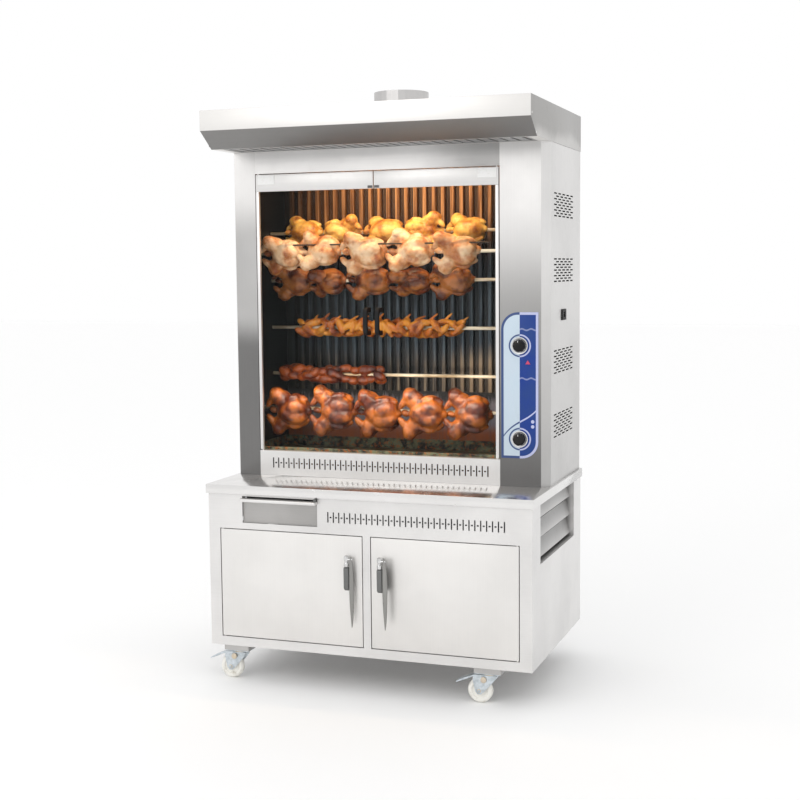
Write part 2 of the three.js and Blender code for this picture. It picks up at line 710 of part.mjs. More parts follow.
function dripPan() {
  const rim = worktop + panRim;
  const low = rim - panDepth;
  const back = ribFront - panGap;
  const tray = box(wideLeft + 2, panelRight - 2, panFront, back, low, rim);
  const x0 = wideLeft + 2 + sheet;
  const hollow = box(x0, panelRight - 2 - sheet, panFront + sheet, back - sheet, low + sheet, rim + 1);
  const mouth = trayTop + spout.above;
  const pipe = bar("z", spout.outer, mouth, low + sheet, drawerX, spoutY);
  const bore = bar("z", spout.inner, mouth - 1, low + 5, drawerX, spoutY);
  return cut(join(cut(tray, hollow), pipe), bore);
}

// Two valves on a supply riser, each with its feed pipe and its burner behind the ribbed wall.
function gasTrain() {
  const front = cabinetFront + valve.front;
  const levels = [worktop + knobRises[0], worktop + knobRises[1]];
  const burners = [levels[0], worktop + lowerBurnerRise];
  const half = valve.size / 2;
  const pieces = levels.map((z) =>
    box(knobX - half, knobX + half, front, front + valve.depth, z - half, z + half),
  );
  const pipeY = front + valve.depth / 2;
  const gasZ = worktop + gasInlet.rise;
  const left = liner + burner.left;
  const right = cavityRight - burner.right;
  pieces.push(bar("z", feedRadius, gasZ, levels[0], knobX, pipeY, 12));
  pieces.push(bar("y", gasInlet.radius, pipeY - feedRadius, baseDepth - 0.5, knobX, gasZ, 12));
  for (const z of burners) {
    pieces.push(bar("y", feedRadius, pipeY, burnerY + feedRadius, knobX + 14, z, 12));
    pieces.push(bar("x", feedRadius, right - 1, knobX + 14, burnerY, z, 12));
    pieces.push(bar("x", burner.radius, left, right, burnerY, z));
  }
  const elbow = box(knobX - 6, knobX + 20, pipeY - 6, pipeY + 6, burners[1] - 6, burners[1] + 6);
  return join(...pieces, elbow);
}

add("column_left", leftColumnShell(), steel);
add("column_right", rightColumnShell(), steel);
add("side_cover_right", sideCover(), steel);
add("rear_cover", rearCover(), steel);
add("lower_vent_panel", ventPanel(), steel);
add("top_panel", topPanel(), steel);
add("ribbed_back_wall", ribbedWall(), darkSteel);
add("drip_pan", dripPan(), darkSteel);
add("gas_burner_train", gasTrain(), castMetal);

// ---------------------------------------------------------------- glass doors
const glassWidth = (cavityRight - cavityLeft) / 2 - 1.5 * reveal;

// Both halves of a door are drawn from its pivot axis at its lower edge, reaching to +X for hand 1.
function glassRail(hand) {
  const near = -glassPivot;
  const far = glassWidth - glassPivot;
  const half = railThick / 2;
  const low = railBottom - glassBottom;
  const high = railTop - glassBottom;
  const blockLow = high - reveal - hingeBlock.height;
  const blockX = near + hingeBlock.inset;
  const left = join(
    box(near, far, -half, half, low, high),
    box(near, near + glassStile, -half, half, 0, high),
    box(blockX, blockX + hingeBlock.width, -half - hingeBlock.proud, 0, blockLow, high - reveal),
    bar("z", glassPin, -reveal - 3, 1, 0, 0, 12),
    bar("z", glassPin, high - 1, high + reveal + 3, 0, 0, 12),
  );
  return hand > 0 ? left : left.mirror([1, 0, 0]);
}

function glassPane(hand) {
  const near = glassStile - glassPivot + seam;
  const far = glassWidth - glassPivot;
  const half = glassThick / 2;
  const left = box(near, far, -half, half, 0, railBottom - glassBottom - seam);
  return hand > 0 ? left : left.mirror([1, 0, 0]);
}

function glassHandle(hand) {
  const far = glassWidth - glassPivot + reveal / 2 - handle.fromEdge;
  const half = handle.height / 2;
  const face = -glassThick / 2 - seam;
  const tip = face - handle.reach;
  const inside = tip + handle.bar;
  const z = worktop + handle.rise - glassBottom;
  const outline = [
    [face, half], [tip + 10, half], [tip, half - 10], [tip, 10 - half], [tip + 10, -half],
    [face, -half], [face, handle.post - half], [inside + 2, handle.post - half],
    [inside, handle.post + 2 - half], [inside, half - handle.post - 2],
    [inside + 2, half - handle.post], [face, half - handle.post],
  ].map(([y, up]) => [y, up + z]);
  const left = prism("x", outline, far - handle.width / 2, far + handle.width / 2);
  return hand > 0 ? left : left.mirror([1, 0, 0]);
}

["left", "right"].forEach((side, i) => {
  const hand = i === 0 ? 1 : -1;
  const door = new THREE.Group();
  door.position.set(pivots[i], glassY, glassBottom);
  oven.add(door);
  add("glass_door_rail_" + side, glassRail(hand), steel, door);
  add("glass_door_pane_" + side, glassPane(hand), clearGlass, door);
  add("glass_door_handle_" + side, glassHandle(hand), blackPlastic, door);
});

// ---------------------------------------------------------------- spits and their drive
const sprocketX = cavityRight + sprocketOff;

// A square bar with a round journal at each end and its chain wheel on the right.
function spit() {
  const half = spitBar / 2;
  const left = liner + 5;
  const right = cavityRight - 5;
  return join(
    box(left, right, -half, half, -half, half),
    bar("x", journal, left - journalOut, left + 1, 0, 0, 10),
    bar("x", journal, right - 1, sprocketX + sprocketThick + 4, 0, 0, 10),
    bar("x", sprocketRadius, sprocketX, sprocketX + sprocketThick, 0, 0, 20),
  );
}

function motorSprocket() {
  const end = sprocketX + sprocketThick + 24;
  return join(
    bar("x", journal, sprocketX - 6, end, 0, 0, 12),
    bar("x", sprocketRadius, sprocketX, sprocketX + sprocketThick, 0, 0, 24),
  );
}

// The gear motor hangs from a foot on the cavity's wall, under the run of the chain.
function gearMotor() {
  const y = motorY;
  const z = motorZ;
  const end = cabinetWidth / 2 - sheet - motorEndGap;
  const boxLeft = sprocketX + sprocketThick + 14;
  const boxRight = boxLeft + 58;
  const low = z - sprocketRadius - chainDepth - 8;
  const wall = cavityRight + sheet + seam;
  const body = join(
    box(boxLeft, boxRight, y - 45, y + 45, low, z + 45),
    bar("x", 36, boxRight - 1, end, y, z, 20),
    box(wall, boxLeft + 1, y - 45, y + 45, low, low + 4),
    box(wall, wall + 3, y - 45, y + 45, low - 40, low + 4),
  );
  return cut(body, bar("x", journal + runClear, boxLeft - 1, boxLeft + 14, y, z, 12));
}

// The outline at a distance round the axes of the wheels at the corners of the chain's run, which
// are listed anticlockwise as seen from +X.
function runOutline(corners, radius) {
  const points = [];
  corners.forEach(([y, z], i) => {
    const [py, pz] = corners[(i + corners.length - 1) % corners.length];
    const [ny, nz] = corners[(i + 1) % corners.length];
    const start = Math.atan2(z - pz, y - py) - Math.PI / 2;
    let turn = Math.atan2(nz - z, ny - y) - Math.PI / 2 - start;
    if (turn < 0) turn += 2 * Math.PI;
    const steps = Math.max(1, Math.round(turn / 0.35));
    for (let k = 0; k <= steps; k++) {
      const angle = start + (turn * k) / steps;
      points.push([y + radius * Math.cos(angle), z + radius * Math.sin(angle)]);
    }
  });
  return points;
}

function driveChain() {
  const axis = (i) => [spitY[i], spitZ[i]];
  const corners = [[motorY, motorZ], axis(4), axis(0), axis(1), axis(5)];
  const inner = sprocketRadius + chainClear;
  const middle = sprocketX + sprocketThick / 2;
  const from = middle - chainWidth / 2;
  const to = middle + chainWidth / 2;
  const band = prism("x", runOutline(corners, inner + chainDepth), from, to);
  return cut(band, prism("x", runOutline(corners, inner), from - 1, to + 1));
}

spitY.forEach((y, i) => {
  add("spit_" + (i + 1), spit(), spitSteel, oven, [0, y, spitZ[i]]);
});
add("motor_sprocket", motorSprocket(), castMetal, oven, [0, motorY, motorZ]);
add("gear_motor", gearMotor(), castMetal);
add("drive_chain", driveChain(), castMetal);

// ---------------------------------------------------------------- controls
const plateFront = -seam - controlPlate.thick;

function controlFace() {
  const left = plateLeft;
  const right = plateRight;
  const corner = controlPlate.corner;
  const bottom = worktop + controlPlate.bottom;
  const top = worktop + controlPlate.top;
  const quarter = Math.PI / 2;
  const outline = [
    [left, bottom],
    ...arc(right - corner, bottom + corner, corner, -quarter, 8),
    [right, top],
    ...arc(left + corner, top - corner, corner, quarter, 8),
  ];
  const plate = prism("y", outline, cabinetFront + plateFront, cabinetFront - seam);
  const shafts = knobRises.map((rise) =>
    bar("y", knob.shaft + runClear, cabinetFront - 5, cabinetFront + 1, knobX, worktop + rise, 12),
  );
  return cut(plate, ...shafts);
}

// A control knob, drawn from its shaft's axis at the cabinet's face.
function controlKnob() {
  const back = plateFront - 0.5;
  const skirt = back - knob.skirtThick;
  const front = skirt - knob.depth;
  return join(
    bar("y", knob.shaft, back - 1, valve.front - 0.5, 0, 0, 12),
    bar("y", knob.skirt, skirt, back, 0, 0, 24),
    bar("y", knob.grip, front, skirt + 1, 0, 0, 20),
    box(-3, 3, front - 2, skirt, 0, knob.grip),
  );
}

function pilotLamp() {
  const z = worktop + lamp.rise;
  const back = cabinetFront + plateFront - seam;
  const size = lamp.size;
  const x = plateRight - lamp.inset;
  const triangle = [[x - size, z - size * 0.6], [x + size, z - size * 0.6], [x, z + size]];
  return prism("y", triangle, back - lamp.proud, back);
}

function powerInlet() {
  const out = cabinetWidth / 2;
  const y = cabinetFront + inletHole.y;
  const z = inletZ;
  const halfY = inletHole.width / 2 - seam;
  const halfZ = inletHole.height / 2 - seam;
  const flange = box(out + seam, out + 5, y - halfY - 6, y + halfY + 6, z - halfZ - 5, z + halfZ + 5);
  const body = box(out - 30, out + 1, y - halfY, y + halfY, z - halfZ, z + halfZ);
  const well = box(out - 16, out + 6, y - 12, y + 12, z - 9, z + 9);
  return cut(join(flange, body), well);
}

add("control_plate", controlFace(), enamel);
["upper", "lower"].forEach((level, i) => {
  const place = [knobX, cabinetFront, worktop + knobRises[i]];
  add("control_knob_" + level, controlKnob(), blackPlastic, oven, place);
});
add("pilot_lamp", pilotLamp(), redLens);
add("power_inlet", powerInlet(), blackPlastic);

// ---------------------------------------------------------------- hood
const collarY = baseDepth - collar.fromBack;

function hoodShell() {
  const half = hoodWidth / 2;
  const drop = slopeTop - hoodBottom;
  const length = Math.hypot(hoodSlope, drop);
  const foot = hoodFront + hoodSlope;
  const outer = [
    [baseDepth, hoodBottom], [baseDepth, hoodTop], [hoodFront, hoodTop], [hoodFront, slopeTop],
    [foot, hoodBottom],
  ];
  const innerRise = (sheet * (length - drop)) / hoodSlope;
  const innerRun = (sheet * (length - hoodSlope)) / drop;
  const inner = [
    [baseDepth - sheet, hoodBottom + sheet], [baseDepth - sheet, hoodTop - sheet],
    [hoodFront + sheet, hoodTop - sheet], [hoodFront + sheet, slopeTop + innerRise],
    [foot + innerRun, hoodBottom + sheet],
  ];
  const shell = cut(
    prism("x", outer, -half, half),
    prism("x", inner, sheet - half, half - sheet),
  );
  const side = half - filterOpening.side;
  const z0 = hoodBottom - 1;
  const z1 = hoodBottom + sheet + 1;
  const filterBack = cabinetFront - filterOpening.back;
  return cut(
    shell,
    box(-side, side, hoodFront + filterOpening.front, filterBack, z0, z1),
    box(-side, side, cabinetFront + 40, baseDepth - 30, z0, z1),
    bar("z", collar.radius - sheet, hoodTop - 5, hoodTop + 5, 0, collarY, 32),
  );
}

function hoodFilter() {
  const half = hoodWidth / 2 - filterOpening.side + filter.lap;
  const front = hoodFront + filterOpening.front - filter.lap;
  const back = cabinetFront - filterOpening.back + filter.lap;
  const low = hoodBottom + sheet + seam;
  const high = low + filter.thick;
  const count = Math.floor((2 * (half - filter.margin) - filter.width) / filter.pitch) + 1;
  const slots = Array.from({ length: count }, (_, i) => {
    const x = (i - (count - 1) / 2) * filter.pitch;
    return box(x - filter.width / 2, x + filter.width / 2, front + 18, back - 18, low - 1, high + 1);
  });
  return cut(box(-half, half, front, back, low, high), ...slots);
}

function flueCollar() {
  const { radius, height, flange } = collar;
  const profile = [
    [radius - sheet, 0], [radius + flange, 0], [radius + flange, sheet], [radius, sheet],
    [radius, height], [radius - sheet, height],
  ];
  return ring(profile, 28);
}

add("hood", hoodShell(), steel);
add("hood_filter", hoodFilter(), steel);
add("flue_collar", flueCollar(), steel, oven, [0, collarY, hoodTop + seam]);

const part = new THREE.Group();
part.add(oven);
export default part;
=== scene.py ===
import math
import random

import bmesh
import bpy
from mathutils import Matrix, Vector, noise


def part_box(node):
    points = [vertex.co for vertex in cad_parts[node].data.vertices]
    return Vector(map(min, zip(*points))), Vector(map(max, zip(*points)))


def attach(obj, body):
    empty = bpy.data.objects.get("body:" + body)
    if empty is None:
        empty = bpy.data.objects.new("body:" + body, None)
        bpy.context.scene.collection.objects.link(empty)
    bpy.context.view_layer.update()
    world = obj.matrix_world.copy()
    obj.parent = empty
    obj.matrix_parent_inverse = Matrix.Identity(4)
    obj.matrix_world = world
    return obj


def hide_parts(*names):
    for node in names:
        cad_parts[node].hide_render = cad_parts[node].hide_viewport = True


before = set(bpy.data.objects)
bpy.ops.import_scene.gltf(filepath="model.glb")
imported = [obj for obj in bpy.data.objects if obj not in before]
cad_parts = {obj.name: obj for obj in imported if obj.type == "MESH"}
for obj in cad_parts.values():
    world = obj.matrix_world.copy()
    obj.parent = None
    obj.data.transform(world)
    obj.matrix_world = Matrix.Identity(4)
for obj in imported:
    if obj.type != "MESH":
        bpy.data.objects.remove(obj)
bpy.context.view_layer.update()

# The camera: a long lens at chest height, in front of the oven and to its right.
yaw, pitch, roll = 0.3438, -0.0971, -0.0095
ahead = Vector((-math.sin(yaw) * math.cos(pitch), math.cos(yaw) * math.cos(pitch), math.sin(pitch)))
level = Vector((math.cos(yaw), math.sin(yaw), 0))
aloft = level.cross(ahead)
across = level * math.cos(roll) + aloft * math.sin(roll)
upward = aloft * math.cos(roll) - level * math.sin(roll)
camera = bpy.data.objects.new("camera", bpy.data.cameras.new("camera"))
camera.data.lens = 61.13
camera.data.sensor_width = 36
camera.data.clip_end = 60
turn = Matrix((across, upward, -ahead)).transposed().to_4x4()
camera.matrix_world = Matrix.Translation((1.6971, -4.6893, 1.4900)) @ turn
bpy.context.scene.collection.objects.link(camera)
bpy.context.scene.camera = camera

# The room: a pale floor, an even white sky, a large soft lamp in front and a warm glow in the cabinet.
world = bpy.data.worlds.new("studio")
world.use_nodes = True
world.node_tree.nodes["Background"].inputs["Color"].default_value = (1.0, 1.0, 1.0, 1)
world.node_tree.nodes["Background"].inputs["Strength"].default_value = 1.0
bpy.context.scene.world = world
bpy.context.scene.view_settings.view_transform = "Standard"


def lamp(name, size, power, colour, place, target):
    light = bpy.data.lights.new(name, "AREA")
    light.shape = "RECTANGLE"
    light.size, light.size_y = size
    light.energy = power
    light.color = colour
    item = bpy.data.objects.new(name, light)
    item.location = place
    item.rotation_euler = (Vector(target) - Vector(place)).to_track_quat("-Z", "Y").to_euler()
    item.visible_camera = False
    bpy.context.scene.collection.objects.link(item)


lamp("key", (3.0, 2.5), 42, (1.0, 0.98, 0.96), (-1.6, -4.5, 3.6), (0, 0, 1.0))
cavity_low, cavity_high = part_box("ribbed_back_wall")
glow_place = (0, cavity_low.y - 0.33, cavity_high.z - 0.03)
glow_target = (0, cavity_low.y - 0.16, cavity_low.z + 0.6)
lamp("cavity_glow", (0.8, 0.06), 3.8, (1.0, 0.72, 0.44), glow_place, glow_target)
front_place = (-0.05, cavity_low.y - 0.36, cavity_low.z + 0.33)
front_target = (-0.05, cavity_low.y - 0.2, cavity_low.z + 0.12)
lamp("low_glow", (0.8, 0.05), 1.3, (1.0, 0.84, 0.66), front_place, front_target)


# Wires and finishes. A Wire is one output of a shader node, with arithmetic on it. A Finish is a
# material and the nodes that feed its Principled shader.
class Wire:
    def __init__(self, finish, socket):
        self.finish = finish
        self.socket = socket

    def __add__(self, other):
        return self.finish.maths("ADD", self, other)

    def __sub__(self, other):
        return self.finish.maths("SUBTRACT", self, other)

    def __rsub__(self, other):
        return self.finish.maths("SUBTRACT", other, self)

    def __mul__(self, other):
        return self.finish.maths("MULTIPLY", self, other)

    def __pow__(self, other):
        return self.finish.maths("POWER", self, other)

    __radd__ = __add__
    __rmul__ = __mul__

    def size(self):
        return self.finish.maths("ABSOLUTE", self)

    def least(self, other):
        return self.finish.maths("MINIMUM", self, other)

    def most(self, other):
        return self.finish.maths("MAXIMUM", self, other)

    def over(self, other):
        return self.finish.maths("GREATER_THAN", self, other)

    def ramp(self, low, high, start=0.0, end=1.0):
        inputs = {0: self, 1: low, 2: high, 3: start, 4: end}
        return self.finish.node("ShaderNodeMapRange", {"interpolation_type": "SMOOTHSTEP"}, inputs)


class Finish:
    def __init__(self, name, colour, **constants):
        self.material = bpy.data.materials.new(name)
        self.material.use_nodes = True
        self.tree = self.material.node_tree
        self.shader = self.tree.nodes["Principled BSDF"]
        self.material.diffuse_color = (*colour, 1)
        self.feed(Base_Color=colour, **constants)

    def plug(self, socket, value):
        if isinstance(value, Wire):
            self.tree.links.new(value.socket, socket)
        elif socket.type == "RGBA":
            socket.default_value = (*value, 1)
        else:
            socket.default_value = value

    def node(self, kind, settings, inputs, output=0):
        made = self.tree.nodes.new(kind)
        for key, value in settings.items():
            setattr(made, key, value)
        for key, value in inputs.items():
            self.plug(made.inputs[key], value)
        return Wire(self, made.outputs[output])

    def maths(self, operation, *values):
        return self.node("ShaderNodeMath", {"operation": operation}, dict(enumerate(values)))

    def mix(self, factor, first, second):
        settings = {"data_type": "RGBA"}
        return self.node("ShaderNodeMix", settings, {0: factor, 6: first, 7: second}, 2)

    def feed(self, **values):
        for key, value in values.items():
            self.plug(self.shader.inputs[key.replace("_", " ")], value)

    def place(self):
        return self.node("ShaderNodeTexCoord", {}, {}, 3)

    def axes(self):
        split = self.tree.nodes.new("ShaderNodeSeparateXYZ")
        self.plug(split.inputs[0], self.place())
        return [Wire(self, output) for output in split.outputs]

    def stretched(self, scale):
        return self.node("ShaderNodeVectorMath", {"operation": "MULTIPLY"}, {0: self.place(), 1: scale})

    def noise(self, scale, detail=3.0, roughness=0.55):
        vector = self.stretched(scale) if isinstance(scale, tuple) else self.place()
        size = 1.0 if isinstance(scale, tuple) else scale
        inputs = {"Vector": vector, "Scale": size, "Detail": detail, "Roughness": roughness}
        return self.node("ShaderNodeTexNoise", {}, inputs)

    def bump(self, height, strength, distance):
        inputs = {"Strength": strength, "Distance": distance, "Height": height}
        self.feed(Normal=self.node("ShaderNodeBump", {}, inputs))


# Stainless sheet: bright, with a fine brushed grain along one axis, faint smears and finger marks.
# A tone, made by a function of the piece's own x, y and z, is painted shade: it darkens the sheet where it
# stands in shade.
def stainless(name, colour, rough=0.34, grain=(3.0, 420.0, 420.0), smear=0.10, metallic=0.8, tone=None):
    made = Finish(name, colour, Metallic=metallic)
    lines = made.noise(grain, 4.0, 0.7)
    cloud = made.noise(3.2, 4.0)
    marks = made.noise(34.0, 2.0).ramp(0.56, 0.74)
    dull = tuple(part * (1 - smear * 1.6) for part in colour)
    shade = cloud.ramp(0.35, 0.72) * 0.6 + lines.ramp(0.3, 0.7) * 0.16
    face = made.mix(shade, colour, dull)
    if tone:
        face = made.mix(tone(*made.axes(), cloud - 0.5), (0.0, 0.0, 0.0), face)
    made.feed(Base_Color=face)
    made.feed(Roughness=rough + (lines - 0.5) * 0.16 + marks * 0.07 + cloud * 0.08)
    made.bump(lines, 0.06, 0.0003)
    return made.material


def dress(material, *nodes):
    for node in nodes:
        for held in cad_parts[node].material_slots:
            held.material = material


upright = (420.0, 420.0, 3.0)
pale_metal = (0.775, 0.765, 0.755)
bright_steel = stainless("bright_stainless", pale_metal)
shade_steel = stainless("inside_stainless", (0.52, 0.51, 0.50), rough=0.42)
dress(bright_steel, "base_front_frame", "base_back", "rear_cover", "lower_vent_panel")
dress(shade_steel, "base_floor", "drawer_cradle")

# Painted shade: the two columns darken towards their feet, the right one's chamfer less than its face, and
# their inner faces in the cavity are painted near black. The header darkens to its right end, the side cover
# towards its foot, and the louvres in the base's sides are painted dark behind the face of the sheet.
column_low, column_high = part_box("column_right")
left_low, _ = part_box("column_left")
base_low, base_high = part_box("base_front_frame")
base_middle = (base_low.x + base_high.x) / 2


# Painted shade: the left column darkens towards its foot, its inner face in the cavity is painted near black,
# and its outer side takes the side cover's painted shade.
def left_column_painted_shade(x, y, z, drift):
    z = z + drift * 0.10
    soot_and_shade = y.ramp(column_low.y + 0.0005, column_low.y + 0.004, 1.0, 0.02)
    face = z.ramp(1.20, 1.33, 0.25, 0.62) * z.ramp(1.60, 1.78, 1.0, 1.55) * soot_and_shade
    outside = (0 - x).over(-left_low.x - 0.0007)
    return face + (cover_painted_shade(x, y, z, drift) - face) * outside


# Painted shade: the right column's face and chamfer darken towards the foot, and its inner face in the cavity
# is painted near black.
def right_column_painted_shade(x, y, z, drift):
    z = z + drift * 0.10
    face = z.ramp(1.30, 1.74, 0.46, 1.0) * z.ramp(0.72, 1.36, 0.46, 1.0)
    edge = z.ramp(0.72, 1.70, 0.62, 1.0)
    rim = (x + y * 1.0).over(column_high.x - 0.028 + column_low.y + 0.0008)
    soot_and_shade = (column_low.x + 0.0017 - x).over(0) * y.ramp(column_low.y + 0.0015, column_low.y + 0.005)
    return (face + (edge - face) * rim) * (1 - soot_and_shade * 0.96)


# Painted shade: the header darkens towards its right end.
def header_painted_shade(x, y, z, drift):
    return (x + drift * 0.10).ramp(0.06, 0.38, 1.0, 0.55)


# Painted shade: the sheet behind the outer face, in the louvre recesses, is painted dark.
def louvre_painted_shade(x, y, z, drift):
    return (x - base_middle).size().ramp(0.572, 0.594, 0.40, 1.0)


# Painted shade: the side cover darkens towards its foot.
def cover_painted_shade(x, y, z, drift):
    return (z + drift * 0.3).ramp(0.8, 1.6, 0.76, 0.92)


dress(stainless("left_column_sheet", pale_metal, grain=upright, tone=left_column_painted_shade), "column_left")
dress(stainless("right_column_sheet", pale_metal, grain=upright, tone=right_column_painted_shade), "column_right")
dress(stainless("header_sheet", pale_metal, tone=header_painted_shade), "top_panel")
dress(stainless("side_sheet", pale_metal, tone=louvre_painted_shade), "base_side_left", "base_side_right")
dress(stainless("cover_sheet", pale_metal, grain=upright, tone=cover_painted_shade), "side_cover_right")


# Making pieces. A mesh in hand becomes a named piece that rides on a body.
def piece(name, shape, body, material, replaces=(), smooth=35):
    mesh = bpy.data.meshes.new(name)
    bmesh.ops.recalc_face_normals(shape, faces=shape.faces)
    shape.to_mesh(mesh)
    shape.free()
    mesh.shade_smooth()
    mesh.set_sharp_from_angle(angle=math.radians(smooth))
    mesh.materials.append(material)
    item = bpy.data.objects.new(name, mesh)
    bpy.context.scene.collection.objects.link(item)
    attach(item, body)
    if replaces:
        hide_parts(*replaces)
    return item


def rounded(shape, width, segments=2, angle=30):
    sharp = []
    for edge in shape.edges:
        if len(edge.link_faces) == 2 and edge.calc_face_angle() > math.radians(angle):
            sharp.append(edge)
    bmesh.ops.bevel(shape, geom=sharp, offset=width, offset_type="OFFSET", segments=segments,
                    profile=0.5, affect="EDGES", clamp_overlap=True, material=-1)
    return shape


# A CAD piece's own shape, with its folds and cut edges eased.
def eased(node, width, segments=2):
    shape = bmesh.new()
    shape.from_mesh(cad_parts[node].data)
    bmesh.ops.remove_doubles(shape, verts=shape.verts, dist=1e-6)
    bmesh.ops.dissolve_limit(shape, angle_limit=math.radians(1), verts=shape.verts, edges=shape.edges)
    return rounded(shape, width, segments)


# The worktop, a folded tray whose polished top mirrors the cabinet's foot.
top_steel = stainless("worktop_stainless", pale_metal, rough=0.16, grain=(2.0, 60.0, 60.0), smear=0.06,
                      metallic=0.95)
piece("worktop_tray", eased("worktop", 0.0007), "cabinet", top_steel, ["worktop"])

# The base doors: shallow folded trays on hidden pins.
door_steel = stainless("door_stainless", (0.81, 0.795, 0.775), grain=(420.0, 420.0, 3.0), smear=0.07)
for side in ("left", "right"):
    node = "base_door_" + side
    piece(node + "_tray", eased(node, 0.0007), node, door_steel, [node])

# The latches: polished castings, a ringed barrel head over a dark heel, and a leaf-shaped lever with a raised
# spine that hangs beside them; the lever's chrome is painted dark as shade.
chrome = Finish("worn_chrome", (0.62, 0.62, 0.62), Metallic=1.0)
haze = chrome.noise(90.0, 3.0)
chrome.feed(Base_Color=chrome.mix(haze.ramp(0.4, 0.7), (0.70, 0.70, 0.70), (0.52, 0.52, 0.51)))
chrome.feed(Roughness=0.12 + haze * 0.16)
chrome.bump(haze, 0.1, 0.0003)
heel_grey = Finish("heel_grey", (0.16, 0.165, 0.165), Metallic=0.7)
pores = heel_grey.noise(700.0, 3.0)
heel_grey.feed(Base_Color=heel_grey.mix(pores, (0.12, 0.125, 0.125), (0.22, 0.22, 0.215)))
heel_grey.feed(Roughness=0.34 + pores * 0.2)
heel_grey.bump(pores, 0.2, 0.0002)
# Painted shade: a darker copy of the chrome stands for the lever's shaded side.
shaded_blade_chrome = Finish("blade_chrome_painted_shade", (0.26, 0.26, 0.25), Metallic=0.9)
run = shaded_blade_chrome.noise((30.0, 30.0, 6.0), 3.0)
shaded_blade_chrome.feed(Base_Color=shaded_blade_chrome.mix(run, (0.22, 0.22, 0.21), (0.36, 0.355, 0.34)))
shaded_blade_chrome.feed(Roughness=0.2 + run * 0.18)
shaded_blade_chrome.bump(run, 0.08, 0.0004)

TURN = {
    "x": Matrix(((0, 0, 1), (1, 0, 0), (0, 1, 0))),
    "y": Matrix(((0, 1, 0), (0, 0, 1), (1, 0, 0))),
    "z": Matrix.Identity(3),
}


# A part's mesh added to a shape in hand, or the part itself where there is none.
def merged(part, shape):
    if shape is None:
        return part
    spare = bpy.data.meshes.new("spare")
    part.to_mesh(spare)
    part.free()
    shape.from_mesh(spare)
    bpy.data.meshes.remove(spare)
    return shape


# A round piece turned about an axis from a profile of (radius, height) points.
def turned(profile, axis, centre, steps=48, shape=None):
    part = bmesh.new()
    verts = [part.verts.new((radius, 0, height)) for radius, height in profile]
    edges = [part.edges.new(pair) for pair in zip(verts, verts[1:])]
    bmesh.ops.spin(part, geom=verts + edges, cent=(0, 0, 0), axis=(0, 0, 1), dvec=(0, 0, 0),
                   angle=math.tau, steps=steps, use_merge=True)
    bmesh.ops.remove_doubles(part, verts=part.verts, dist=1e-7)
    placed = Matrix.Translation(centre) @ TURN[axis].to_4x4()
    bmesh.ops.transform(part, matrix=placed, verts=part.verts)
    return merged(part, shape)


# A flat outline pushed along an axis, with its edges eased. The outline's points are (y, z), (z, x)
# or (x, y) for the axes x, y and z.
def pushed(outline, axis, low, high, ease=0.0, segments=2, shape=None):
    part = bmesh.new()
    face = part.faces.new([part.verts.new((a, b, low)) for a, b in outline])
    grown = bmesh.ops.extrude_face_region(part, geom=[face])["geom"]
    lifted = [item for item in grown if isinstance(item, bmesh.types.BMVert)]
    bmesh.ops.translate(part, verts=lifted, vec=(0, 0, high - low))
    bmesh.ops.recalc_face_normals(part, faces=part.faces)
    if ease:
        rounded(part, ease, segments, 20)
    bmesh.ops.transform(part, matrix=TURN[axis].to_4x4(), verts=part.verts)
    return merged(part, shape)


def brick(low, high, ease=0.0, segments=2, shape=None):
    outline = [(low[0], low[1]), (high[0], low[1]), (high[0], high[1]), (low[0], high[1])]
    return pushed(outline, "z", low[2], high[2], ease, segments, shape)


